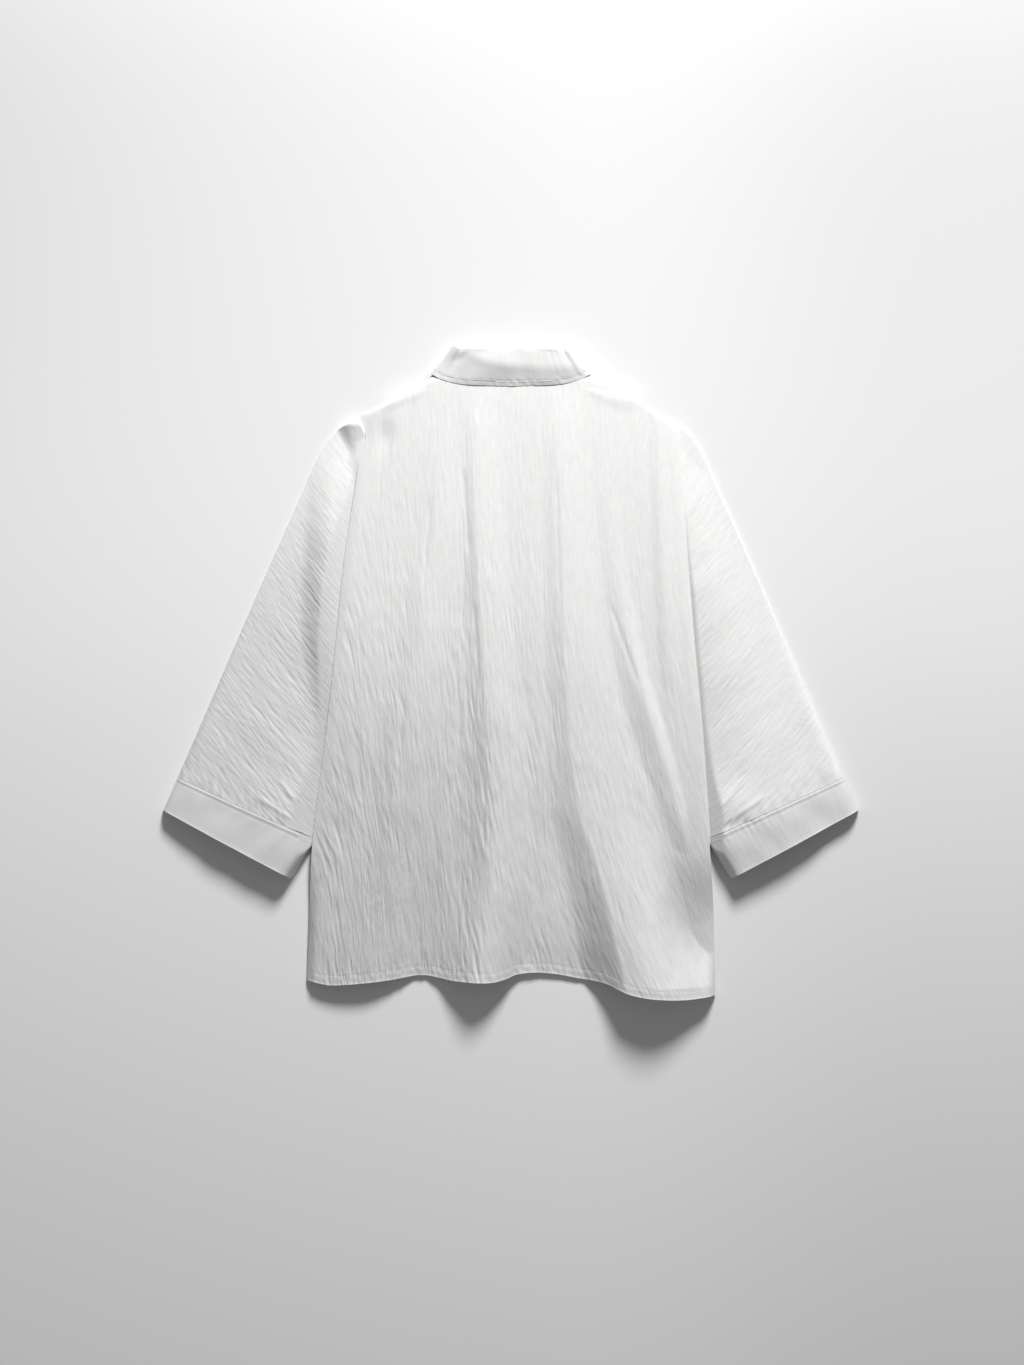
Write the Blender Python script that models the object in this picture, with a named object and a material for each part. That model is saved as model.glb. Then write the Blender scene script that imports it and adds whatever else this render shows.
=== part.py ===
"""A crinkled white shirt with three-quarter sleeves, laid flat on its front with its back up.

Metres, +Z up. X runs across the shirt, +Y towards the collar, and the surface it lies on is z = 0.
Each piece a maker would cut is a wall of cloth with its own name: back, fronts, sleeves, cuffs, collar.
The fronts lie flat on the surface. The sleeves lie on the fronts' edges and come out from under the back.
"""

import math
from collections import namedtuple

import bpy
import numpy as np

# ---- driving dimensions ----
CLOTH = 0.0010  # wall of a single layer
CUFF_CLOTH = 0.0014  # a doubled, interfaced layer
COLLAR_CLOTH = 0.0012
SEAM_GAP = 0.0003  # between pieces that are sewn together

SLEEVE_TOP_UNDER_BACK = 0.0074  # highest the sleeve may reach where the back lies on it
BACK_ON_SLEEVE = 0.0096  # upper face of the back's edge there
SLEEVE_ON_FRONT = CLOTH + SEAM_GAP + 0.0001
ARMHOLE_ZONE = (-0.232, -0.206)  # y where the back's edge comes down off the sleeve and cuff
ARMHOLE_REACH = (0.135, 0.158)  # |x| from which a sleeve lies under the back

EDGE_ROLL = 0.010  # how far in from its edge the back rounds over
FRONT_INSET = 0.0006

PLACKET_LIFT = 0.0026  # the fronts ride over the buttons and the collar's front by this much
PLACKET_HALF = (0.024, 0.042)  # |x| where that lift is full, and where it ends
COLLAR_LIFT_Y = (0.195, 0.222)
COLLAR_LIFT_X = (0.112, 0.096)
OVERLAP = 0.018  # each front runs this far past the centre line
OVERLAP_STEP = 0.0013  # the left front lies on the right one

NECK_HALF = 0.080
NECK_Y = 0.3415
FRONT_NECK_DROP = 0.078
BACK_NECK_DIP = 0.006
FLAT_UNDER_COLLAR = (0.322, 0.285)  # y between which the back's folds die out towards the neck

BUTTON_RADIUS = 0.0057
BUTTON_THICK = 0.0021
BUTTON_TOP_Y = 0.222
BUTTON_PITCH = 0.094
BUTTON_COUNT = 6

SLEEVE_FOLD_RADIUS = 0.0022
CUFF_FOLD_RADIUS = 0.0026
CUFF_DEPTH = 0.0415
CUFF_SLANT = (0.0124, -0.0074)  # how far its lower inner corner stands out from square
UNDERARM = (0.162, 0.026)
CUFF_SEAM_INNER = (0.2225, -0.191)

# ---- tables: one row for each station ----
Edge = namedtuple("Edge", "y left right")
SIDES = (
    Edge(0.292, -0.177, 0.190),
    Edge(0.270, -0.167, 0.193),
    Edge(0.240, -0.174, 0.195),
    Edge(0.190, -0.182, 0.198),
    Edge(0.130, -0.191, 0.202),
    Edge(0.030, -0.201, 0.210),
    Edge(-0.070, -0.212, 0.219),
    Edge(-0.200, -0.228, 0.228),
    Edge(-0.280, -0.232, 0.233),
    Edge(-0.372, -0.235, 0.235),
)

Point = namedtuple("Point", "x y")
SHOULDER_LINE = (
    Point(-0.177, 0.292),
    Point(-0.132, 0.318),
    Point(-0.092, 0.3360),
    Point(-0.080, 0.3405),
    Point(0.080, 0.3415),
    Point(0.092, 0.3390),
    Point(0.115, 0.331),
    Point(0.138, 0.319),
    Point(0.158, 0.305),
    Point(0.177, 0.2915),
    Point(0.190, 0.2835),
)
HEM = (
    Point(-0.235, -0.353),
    Point(-0.205, -0.358),
    Point(-0.175, -0.356),
    Point(-0.137, -0.352),
    Point(-0.103, -0.3475),
    Point(-0.063, -0.3525),
    Point(-0.024, -0.3530),
    Point(-0.006, -0.3505),
    Point(0.006, -0.3465),
    Point(0.028, -0.3445),
    Point(0.045, -0.3455),
    Point(0.080, -0.3515),
    Point(0.108, -0.3555),
    Point(0.122, -0.3610),
    Point(0.139, -0.3670),
    Point(0.163, -0.3705),
    Point(0.200, -0.3725),
    Point(0.235, -0.3700),
)
FRONT_HEM = (
    Point(-0.235, -0.348),
    Point(-0.120, -0.345),
    Point(0.040, -0.339),
    Point(0.120, -0.352),
    Point(0.235, -0.364),
)

# The back's level between its folds, from the neck down to the hem.
Level = namedtuple("Level", "y height")
BACK_LEVEL = (
    Level(0.350, 0.0130),
    Level(0.260, 0.0125),
    Level(0.090, 0.0105),
    Level(-0.090, 0.0098),
    Level(-0.220, 0.0078),
    Level(-0.360, 0.0034),
)

# Long soft folds of the back. Each crest wanders through x at the five stations and rises by rise there;
# left and right are its half widths at the first and last station.
FOLD_STATIONS = (0.260, 0.090, -0.090, -0.220, -0.360)
Fold = namedtuple("Fold", "x rise left right")
BACK_FOLDS = {
    "left_hem": Fold(
        x=(-0.130, -0.140, -0.152, -0.162, -0.172),
        rise=(0.0, 0.0, 0.0015, 0.006, 0.015),
        left=(0.050, 0.110),
        right=(0.050, 0.065),
    ),
    "left_back": Fold(
        x=(-0.078, -0.099, -0.122, -0.136, -0.142),
        rise=(0.001, 0.0035, 0.004, 0.003, 0.0),
        left=(0.028, 0.035),
        right=(0.035, 0.055),
    ),
    "middle": Fold(
        x=(-0.038, -0.030, -0.016, -0.014, -0.024),
        rise=(0.002, 0.005, 0.008, 0.014, 0.031),
        left=(0.024, 0.072),
        right=(0.034, 0.046),
    ),
    "right": Fold(
        x=(0.068, 0.074, 0.083, 0.108, 0.175),
        rise=(0.0025, 0.006, 0.008, 0.013, 0.039),
        left=(0.028, 0.108),
        right=(0.042, 0.110),
    ),
    "right_ridge": Fold(
        x=(0.140, 0.142, 0.183, 0.212, 0.225),
        rise=(0.0, 0.0015, 0.006, 0.004, 0.0),
        left=(0.024, 0.034),
        right=(0.022, 0.024),
    ),
}

# The sleeve's outer silhouette from the armhole round the sleeve head, then straight down to the cuff.
Outer = namedtuple("Outer", "along x y")
SLEEVE_OUTER = (
    Outer(0.00, 0.1600, 0.2860),
    Outer(0.06, 0.1830, 0.2870),
    Outer(0.10, 0.1985, 0.2800),
    Outer(0.15, 0.2160, 0.2580),
    Outer(0.25, 0.2378, 0.2110),
    Outer(1.00, 0.3826, -0.1200),
)
# How high the sleeve puffs above its two flat layers.
Puff = namedtuple("Puff", "along height")
SLEEVE_PUFF = (
    Puff(0.0, 0.0010),
    Puff(0.2, 0.0055),
    Puff(0.6, 0.0105),
    Puff(0.9, 0.0165),
    Puff(1.0, 0.0180),
    Puff(1.25, 0.0190),
)
VALLEY_SLOPE = 0.38  # how fast the sleeve may rise, going out from VALLEY_REACH outside the back
VALLEY_REACH = 0.012
FLOOR_RAMP = (0.040, 0.020)  # distances outside the front between which the sleeve comes up off the surface

# The collar's strip, from the centre back (turn 0) round one side to the centre front (turn 1):
# its seam on the neck, its roll line, and its outer edge. It is symmetrical.
Strip = namedtuple("Strip", "turn seam roll edge facing crown")
COLLAR = (
    Strip(0.00, (0.0000, 0.3345, 0.0142), (0.0000, 0.3688, 0.0190), (0.0000, 0.3275, 0.0147), 0, 0.0022),
    Strip(0.25, (0.0420, 0.3355, 0.0142), (0.0400, 0.3688, 0.0188), (0.0520, 0.3295, 0.0147), 0, 0.0022),
    Strip(0.40, (0.0690, 0.3385, 0.0140), (0.0590, 0.3680, 0.0178), (0.0810, 0.3360, 0.0147), 20, 0.0024),
    Strip(0.46, (0.0790, 0.3435, 0.0120), (0.0655, 0.3668, 0.0150), (0.0900, 0.3418, 0.0136), 50, 0.0026),
    Strip(0.50, (0.0785, 0.3470, 0.0092), (0.0678, 0.3650, 0.0110), (0.0928, 0.3440, 0.0070), 90, 0.0020),
    Strip(0.54, (0.0735, 0.3455, 0.0066), (0.0665, 0.3620, 0.0066), (0.0905, 0.3420, 0.0009), 140, 0.0000),
    Strip(0.62, (0.0715, 0.3140, 0.0060), (0.0620, 0.3450, 0.0036), (0.0870, 0.3220, 0.0008), 175, 0.0000),
    Strip(0.82, (0.0440, 0.2735, 0.0060), (0.0380, 0.3020, 0.0036), (0.0680, 0.2520, 0.0008), 180, 0.0000),
    Strip(1.00, (0.0050, 0.2600, 0.0068), (0.0040, 0.2880, 0.0038), (0.0380, 0.2250, 0.0008), 180, 0.0000),
)
COLLAR_ROLL_RADIUS = 0.0030


# ---- small maths ----
def smooth_step(x, start, end):
    """0 at start, 1 at end, level at both; it runs backwards when end is below start."""
    t = np.clip((np.asarray(x, float) - start) / (end - start), 0.0, 1.0)
    return t * t * (3.0 - 2.0 * t)


def smooth_through(stations, values):
    """A smooth curve through the stations that never overshoots them (monotone cubic)."""
    order = np.argsort(stations)
    xs = np.asarray(stations, float)[order]
    ys = np.asarray(values, float)[order]
    step = np.diff(xs)
    slope = np.diff(ys) / step
    tangent = np.concatenate([[slope[0]], np.zeros(len(xs) - 2), [slope[-1]]])
    for i in range(1, len(xs) - 1):
        before, after = slope[i - 1], slope[i]
        if before * after > 0:
            near, far = 2 * step[i] + step[i - 1], step[i] + 2 * step[i - 1]
            tangent[i] = (near + far) / (near / before + far / after)

    def at(x):
        x = np.clip(np.asarray(x, float), xs[0], xs[-1])
        i = np.clip(np.searchsorted(xs, x, side="right") - 1, 0, len(step) - 1)
        h = step[i]
        t = (x - xs[i]) / h
        return (
            ys[i] * (1 + 2 * t) * (1 - t) ** 2
            + tangent[i] * h * t * (1 - t) ** 2
            + ys[i + 1] * t * t * (3 - 2 * t)
            + tangent[i + 1] * h * t * t * (t - 1)
        )

    return at


def along(table, key, value):
    """A smooth curve through one column of a table, read by another."""
    return smooth_through([getattr(row, key) for row in table], [getattr(row, value) for row in table])


left_side = along(SIDES, "y", "left")
right_side = along(SIDES, "y", "right")
shoulder_y = along(SHOULDER_LINE, "x", "y")
hem_y = along(HEM, "x", "y")
front_hem_y = along(FRONT_HEM, "x", "y")
back_level = along(BACK_LEVEL, "y", "height")
sleeve_puff = along(SLEEVE_PUFF, "along", "height")


def soft_minimum(a, b, blend=0.002):
    """The smaller of two heights, rounded where they cross."""
    h = np.clip(0.5 + 0.5 * (b - a) / blend, 0.0, 1.0)
    return b * (1 - h) + a * h - blend * h * (1 - h)


# ---- heights of the layers ----
def front_lift(x, y):
    """How far the fronts' undersides ride above the surface, over the buttons and the collar's front."""
    strip = smooth_step(np.abs(x), PLACKET_HALF[1], PLACKET_HALF[0])
    collar = smooth_step(np.abs(x), *COLLAR_LIFT_X) * smooth_step(y, *COLLAR_LIFT_Y)
    return PLACKET_LIFT * np.maximum(strip, collar)


def over_sleeve(x, y):
    """1 where a sleeve or cuff lies under the back's edge, 0 away from it."""
    return smooth_step(np.abs(x), *ARMHOLE_REACH) * smooth_step(y, *ARMHOLE_ZONE)


def back_rest(x, y):
    """The level of the back's edge: just above the fronts, or above the sleeve."""
    on_front = front_lift(x, y) + 2 * CLOTH + SEAM_GAP
    return on_front + (BACK_ON_SLEEVE - on_front) * over_sleeve(x, y)


def fold_height(fold, x, y):
    """One long fold: a rounded crest with its own half width on each side."""
    crest = smooth_through(FOLD_STATIONS, fold.x)(y)
    rise = smooth_through(FOLD_STATIONS, fold.rise)(y)
    down = smooth_step(y, FOLD_STATIONS[0], FOLD_STATIONS[-1])
    left = fold.left[0] + (fold.left[1] - fold.left[0]) * down
    right = fold.right[0] + (fold.right[1] - fold.right[0]) * down
    reach = np.where(x < crest, left, right)
    away = np.clip(np.abs(x - crest) / reach, 0.0, 1.0)
    return rise * 0.5 * (1 + np.cos(math.pi * away))


def back_height(x, y):
    """The back's upper face away from its rounded edges."""
    folds = sum(fold_height(fold, x, y) for fold in BACK_FOLDS.values())
    height = back_level(y) + folds * smooth_step(y, *FLAT_UNDER_COLLAR)
    lowest = back_rest(x, y) + 0.0013
    return np.maximum(height, lowest)


def rounded(distance, reach):
    """A quarter round that rises from 0 at an edge to 1 at reach."""
    t = np.clip(distance / reach, 0.0, 1.0)
    return np.sqrt(1.0 - (1.0 - t) ** 2)


def back_surface(x, y):
    """The back's upper face, rounded down to its rest along the sides and the shoulders."""
    side = np.minimum(x - left_side(y), right_side(y) - x)
    shoulder = (shoulder_y(x) - y) * 0.88  # across a slope of about 28 degrees
    neck = smooth_step(np.abs(x), NECK_HALF - 0.010, NECK_HALF - 0.001)
    edge = rounded(side, EDGE_ROLL) * (1 - neck * (1 - rounded(shoulder, EDGE_ROLL)))
    rest = back_rest(x, y)
    return rest + (back_height(x, y) - rest) * edge


# ---- meshes ----
def unit(vectors):
    return vectors / np.maximum(np.linalg.norm(vectors, axis=-1, keepdims=True), 1e-12)


def grid_normals(points, ring):
    """Normals of a grid of points; ring joins the last column to the first."""
    if ring:
        across = np.roll(points, -1, axis=1) - np.roll(points, 1, axis=1)
    else:
        across = np.gradient(points, axis=1)
    return unit(np.cross(np.gradient(points, axis=0), across))


def cloth_wall(name, outer, wall, material, ring=False, inner_normals=None):
    """One piece of cloth: the outer face's grid of points, thickened inwards by wall, with closed rims."""
    rows, columns = outer.shape[:2]
    normals = grid_normals(outer, ring) if inner_normals is None else inner_normals
    inner = outer - wall * normals
    vertices = np.concatenate([outer.reshape(-1, 3), inner.reshape(-1, 3)])
    shift = rows * columns

    def at(row, column):
        return row * columns + column % columns

    faces = []
    for row in range(rows - 1):
        for column in range(columns if ring else columns - 1):
            quad = (at(row, column), at(row + 1, column), at(row + 1, column + 1), at(row, column + 1))
            faces.append(quad)
            faces.append(tuple(i + shift for i in reversed(quad)))
    for column in range(columns if ring else columns - 1):
        first, last = (at(0, column), at(0, column + 1)), (at(rows - 1, column + 1), at(rows - 1, column))
        for a, b in (first, last):
            faces.append((a, b, b + shift, a + shift))
    if not ring:
        for row in range(rows - 1):
            left, right = (at(row + 1, 0), at(row, 0)), (at(row, columns - 1), at(row + 1, columns - 1))
            for a, b in (left, right):
                faces.append((a, b, b + shift, a + shift))
    return add_piece(name, vertices, faces, material)


def add_piece(name, vertices, faces, material):
    mesh = bpy.data.meshes.new(name)
    mesh.from_pydata([tuple(map(float, v)) for v in vertices], [], faces)
    mesh.validate()
    mesh.materials.append(material)
    mesh.shade_smooth()
    mesh.set_sharp_from_angle(angle=math.radians(50))
    piece = bpy.data.objects.new(name, mesh)
    bpy.context.scene.collection.objects.link(piece)
    return piece


def spread(count, near_edge):
    """Fractions from 0 to 1: evenly spaced, with the given extra ones close to both ends."""
    middle = np.linspace(0.0, 1.0, count)
    extra = np.asarray(near_edge)
    return np.unique(np.concatenate([middle, extra, 1.0 - extra]))


def patch(top, bottom, left, right):
    """A grid filling four boundary curves that share their corners (a Coons patch)."""
    u = np.linspace(0, 1, len(top))[:, None]
    v = np.linspace(0, 1, len(left))[:, None, None]
    ruled = (1 - v) * top + v * bottom
    sides = (1 - u) * left[:, None] + u * right[:, None]
    corners = (1 - v) * ((1 - u) * top[0] + u * top[-1]) + v * ((1 - u) * bottom[0] + u * bottom[-1])
    return ruled + sides - corners


# ---- the pieces ----
def make_back(material):
    """One panel from the neck and shoulders to the hem, with the long folds, its sides rounded down."""
    across = spread(25, (0.0025, 0.008, 0.020))
    down = spread(22, (0.006, 0.018))
    left_top, right_top = SHOULDER_LINE[0].x, SHOULDER_LINE[-1].x
    top_x = left_top + (right_top - left_top) * across
    hem_x = HEM[0].x + (HEM[-1].x - HEM[0].x) * across
    dip = BACK_NECK_DIP * np.clip(1 - (top_x / NECK_HALF) ** 2, 0, 1)
    top_y = shoulder_y(top_x) - dip
    y = top_y + (hem_y(hem_x) - top_y) * down[:, None]
    left = left_side(y)
    x = left + (right_side(y) - left) * across
    outer = np.stack([x, y, back_surface(x, y)], axis=-1)
    return cloth_wall("back", outer, CLOTH, material)


def make_front(name, side, material):
    """Half of the front, flat on the surface from past the centre line to the side, with its neck cut out."""
    reach = right_side if side > 0 else (lambda y: -left_side(y))
    shoulder_end = SHOULDER_LINE[-1].x if side > 0 else -SHOULDER_LINE[0].x
    neck_x = np.array([-OVERLAP, 0.0, *PLACKET_HALF, 0.060, 0.073, NECK_HALF])
    neck = [(x, NECK_Y - FRONT_NECK_DROP * math.sqrt(1 - (x / NECK_HALF) ** 2)) for x in neck_x]
    shoulder_x = np.linspace(NECK_HALF + 0.008, shoulder_end - FRONT_INSET, 5)
    shoulder = [(x, float(shoulder_y(side * x)) - FRONT_INSET) for x in shoulder_x]
    top = np.array(neck + shoulder)
    rows = 13
    even = np.linspace(PLACKET_HALF[1], float(reach(-0.36)) - FRONT_INSET, len(top) - 3)
    bottom_x = np.array([-OVERLAP, 0.0, PLACKET_HALF[0], *even])
    bottom = np.stack([bottom_x, front_hem_y(side * bottom_x)], axis=1)
    inner_y = np.linspace(top[0, 1], bottom[0, 1], rows)
    inner = np.stack([np.linspace(top[0, 0], bottom[0, 0], rows), inner_y], axis=1)
    outer_y = np.linspace(top[-1, 1], bottom[-1, 1], rows)
    outer = np.stack([reach(outer_y) - FRONT_INSET, outer_y], axis=1)
    outer[0], outer[-1] = top[-1], bottom[-1]
    plan = patch(top, bottom, inner, outer)
    x, y = plan[..., 0] * side, plan[..., 1]
    underside = front_lift(x, y)
    if side < 0:
        underside = underside + OVERLAP_STEP * smooth_step(x, -PLACKET_HALF[1], -PLACKET_HALF[0])
    grid = np.stack([x, y, underside], axis=-1)
    up = np.broadcast_to(np.array([0.0, 0.0, -1.0]), grid.shape)
    if side > 0:
        grid, up = grid[:, ::-1], up[:, ::-1]
    return cloth_wall(name, grid, CLOTH, material, inner_normals=up)


def outside_back(side, x, y):
    """How far a point lies outside the back's side edge."""
    return x - right_side(y) if side > 0 else left_side(y) - x


def sleeve_plan(along_sleeve, across):
    """A point of the flat sleeve, for +X: rows run from the outer silhouette (across 0) to the inner fold (1)."""
    outer_x = along(SLEEVE_OUTER, "along", "x")(along_sleeve)
    outer_y = along(SLEEVE_OUTER, "along", "y")(along_sleeve)
    inner_x = UNDERARM[0] + (CUFF_SEAM_INNER[0] - UNDERARM[0]) * along_sleeve
    inner_y = UNDERARM[1] + (CUFF_SEAM_INNER[1] - UNDERARM[1]) * along_sleeve
    return outer_x + (inner_x - outer_x) * across, outer_y + (inner_y - outer_y) * across


def cuff_plan(down, across):
    """A point of the flat cuff, for +X: it carries on square from the sleeve's last row."""
    x0, y0 = sleeve_plan(1.0, 0.0)
    x1, y1 = sleeve_plan(1.0, 1.0)
    length = math.hypot(x1 - x0, y1 - y0)
    square = ((y1 - y0) / length, -(x1 - x0) / length)
    if square[1] > 0:
        square = (-square[0], -square[1])
    x = x0 + (x1 - x0) * across + (square[0] * CUFF_DEPTH + CUFF_SLANT[0] * across) * down
    y = y0 + (y1 - y0) * across + (square[1] * CUFF_DEPTH + CUFF_SLANT[1] * across) * down
    return x, y


def flat_tube(side, plan, stations, width, fold_radius):
    """A grid of rings round a flattened tube: its underside flat, its upper side puffed, its edges folded."""
    edge = fold_radius / width
    round_in = edge * (1 - math.cos(math.pi / 4))
    under = [round_in, edge, 0.05, 0.20, 0.35, 0.50, 0.65, 0.80, 0.95, 1 - edge, 1 - round_in]
    over = [1 - round_in, 1 - edge, 0.95, 0.86, 0.74, 0.61, 0.48, 0.35, 0.22, 0.11, 0.04, edge, round_in]
    across = np.array([0.0, *under, 1.0, *over])
    sine = math.sin(math.pi / 4)
    bend_under = [-sine, *([-1] * (len(under) - 2)), -sine]
    bend_over = [sine, *([1] * (len(over) - 2)), sine]
    bend = np.array([0.0, *bend_under, 0.0, *bend_over])
    is_over = np.array([0] * (len(under) + 2) + [1] * len(over))
    rows = []
    for station, puff in stations:
        x, y = plan(station, across)
        x = x * side
        outside = outside_back(side, x, y)
        floor = SLEEVE_ON_FRONT * smooth_step(outside, *FLOOR_RAMP)
        rise = puff * np.sin(math.pi * np.clip(across, 0, 1)) ** 0.8
        top = floor + 2 * fold_radius + rise
        limit = SLEEVE_TOP_UNDER_BACK + VALLEY_SLOPE * np.maximum(outside - VALLEY_REACH, 0)
        top = np.where(top < limit - 0.002, top, soft_minimum(top, limit))
        middle = floor + fold_radius
        z = np.where(is_over == 1, middle + (top - middle) * bend, middle + fold_radius * bend)
        rows.append(np.stack([x, y, z], axis=-1))
    grid = np.array(rows)
    return grid[:, ::-1] if side < 0 else grid


def make_sleeve(name, side, material):
    stations = [(v, float(sleeve_puff(v))) for v in (0, 0.05, 0.10, 0.17, 0.27, 0.40, 0.55, 0.70, 0.85, 0.94, 1.0)]
    grid = flat_tube(side, sleeve_plan, stations, 0.20, SLEEVE_FOLD_RADIUS)
    return cloth_wall(name, grid, CLOTH, material, ring=True)


def make_cuff(name, side, material):
    gap = SEAM_GAP / CUFF_DEPTH
    stations = [(v, float(sleeve_puff(1.0 + 0.25 * v)) + 0.0004) for v in (gap, 0.5, 1.0)]
    grid = flat_tube(side, cuff_plan, stations, 0.18, CUFF_FOLD_RADIUS)
    return cloth_wall(name, grid, CUFF_CLOTH, material, ring=True)


def collar_station(turn):
    """The seam, roll and edge points, the facing angle and the crown at one place round the collar."""
    turns = [row.turn for row in COLLAR]

    def read(field, axis=None):
        values = [getattr(row, field) if axis is None else getattr(row, field)[axis] for row in COLLAR]
        return float(smooth_through(turns, values)(abs(turn)))

    side = -1.0 if turn < 0 else 1.0
    mirror = np.array([side, 1.0, 1.0])
    seam, roll, edge = (
        np.array([read(field, axis) for axis in range(3)]) * mirror for field in ("seam", "roll", "edge")
    )
    facing = math.radians(read("facing"))
    outward = np.array([side * math.sin(facing), 0.0, math.cos(facing)])
    return seam, roll, edge, outward, read("crown")


def collar_section(turn):
    """From the neck seam up the stand, round the roll and down the fall to the outer edge."""
    seam, roll, edge, outward, crown = collar_station(turn)
    radius = min(COLLAR_ROLL_RADIUS, 0.5 * abs(float((roll - edge) @ outward)) + 0.0018)
    away = unit(roll - 0.5 * (seam + edge))
    inside, outside = roll - radius * outward, roll + radius * outward
    points = [seam + (inside - seam) * t for t in (0.0, 0.4, 0.8)]
    points += [roll + radius * (math.sin(a) * away - math.cos(a) * outward) for a in np.radians((0, 45, 90, 135, 180))]
    for t in (0.15, 0.35, 0.6, 0.8, 1.0):
        points.append(outside + (edge - outside) * t + crown * math.sin(math.pi * t) * outward)
    return np.array(points)


def make_collar(material):
    """One interfaced strip: the stand and the fall in one, rolled over, from one front end round to the other."""
    half = [0.0, 0.08, 0.17, 0.26, 0.34, 0.40, 0.44, 0.47, 0.50, 0.53, 0.57, 0.63, 0.74, 0.87, 1.0]
    turns = [-t for t in reversed(half[1:])] + half
    middle = np.stack([collar_section(turn) for turn in turns], axis=1)
    outer = middle + 0.5 * COLLAR_CLOTH * grid_normals(middle, ring=False)
    return cloth_wall("collar", outer, COLLAR_CLOTH, material)


def make_button(name, y, material):
    """A flat button with a rounded rim, on the surface under the overlapping fronts."""
    profile = ((0.62, 0.0), (1.0, 0.30), (1.0, 0.70), (0.90, 1.0), (0.70, 1.0), (0.62, 0.80))
    sides = 16
    vertices, faces = [], []
    for radius, level in profile:
        for i in range(sides):
            a = 2 * math.pi * i / sides
            vertices.append((BUTTON_RADIUS * radius * math.cos(a), y + BUTTON_RADIUS * radius * math.sin(a),
                             BUTTON_THICK * level))
    for ring in range(len(profile) - 1):
        for i in range(sides):
            j = (i + 1) % sides
            faces.append((ring * sides + i, ring * sides + j, (ring + 1) * sides + j, (ring + 1) * sides + i))
    faces.append(tuple(reversed(range(sides))))
    faces.append(tuple((len(profile) - 1) * sides + i for i in range(sides)))
    return add_piece(name, vertices, faces, material)


# ---- materials and build ----
def make_material(name, colour, roughness):
    material = bpy.data.materials.new(name)
    material.use_nodes = True
    shader = material.node_tree.nodes["Principled BSDF"]
    shader.inputs["Base Color"].default_value = (*colour, 1.0)
    shader.inputs["Roughness"].default_value = roughness
    shader.inputs["Metallic"].default_value = 0.0
    return material


def main():
    for old in list(bpy.data.objects):
        bpy.data.objects.remove(old, do_unlink=True)
    cloth = make_material("crinkled_cloth", (0.86, 0.86, 0.85), 0.62)
    trim = make_material("interfaced_cloth", (0.86, 0.86, 0.85), 0.60)
    shell = make_material("button_shell", (0.84, 0.83, 0.80), 0.30)
    make_back(cloth)
    for name, side in (("left", -1), ("right", 1)):
        make_front("front_" + name, side, cloth)
        make_sleeve("sleeve_" + name, side, cloth)
        make_cuff("cuff_" + name, side, trim)
    make_collar(trim)
    for i in range(BUTTON_COUNT):
        make_button(f"button_{i + 1}", BUTTON_TOP_Y - BUTTON_PITCH * i, shell)


main()
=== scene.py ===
"""How the crinkled shirt looks: laid flat on its front, back up, collar towards +Y. Metres, in the CAD frame.

Each piece is a fine closed shell of cloth over its CAD solid. The long folds come from tables,
the fine crinkle from seeded noise that runs along the cloth, and the stitches are small meshes.
"""

import math
from collections import namedtuple

import bpy
import numpy as np
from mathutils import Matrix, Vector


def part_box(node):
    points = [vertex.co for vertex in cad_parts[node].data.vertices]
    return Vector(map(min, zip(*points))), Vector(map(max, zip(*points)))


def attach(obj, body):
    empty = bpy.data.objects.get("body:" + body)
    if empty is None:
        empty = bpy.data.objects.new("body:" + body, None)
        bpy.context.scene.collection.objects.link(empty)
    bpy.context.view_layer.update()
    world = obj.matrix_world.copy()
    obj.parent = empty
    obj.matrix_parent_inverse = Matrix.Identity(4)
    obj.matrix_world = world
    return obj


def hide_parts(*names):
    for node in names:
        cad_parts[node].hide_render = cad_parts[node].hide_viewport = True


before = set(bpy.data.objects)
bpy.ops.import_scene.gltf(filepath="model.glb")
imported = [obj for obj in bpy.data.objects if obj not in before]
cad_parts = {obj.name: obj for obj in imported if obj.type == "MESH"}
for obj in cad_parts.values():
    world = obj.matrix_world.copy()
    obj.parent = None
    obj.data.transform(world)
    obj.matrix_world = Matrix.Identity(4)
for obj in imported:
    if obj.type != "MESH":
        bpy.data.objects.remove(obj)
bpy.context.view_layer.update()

# ---- sizes shared with the CAD model ----
SLEEVE_TOP_UNDER_BACK = 0.0074
BACK_ON_SLEEVE = 0.0089
ARMHOLE_ZONE = (-0.290, -0.204)
ARMHOLE_REACH = (0.135, 0.158)
PLACKET_LIFT = 0.0026
PLACKET_HALF = (0.024, 0.042)
COLLAR_LIFT_Y = (0.195, 0.222)
COLLAR_LIFT_X = (0.112, 0.096)
OVERLAP = 0.018
OVERLAP_STEP = 0.0013
NECK_HALF = 0.080
NECK_Y = 0.3415
FRONT_NECK_DROP = 0.078
BACK_NECK_DIP = 0.006
CUFF_DEPTH = 0.0415
CUFF_SLANT = (0.0124, -0.0074)  # how far its lower inner corner stands out from square
UNDERARM = (0.162, 0.026)
CUFF_SEAM_INNER = (0.2225, -0.191)

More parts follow.
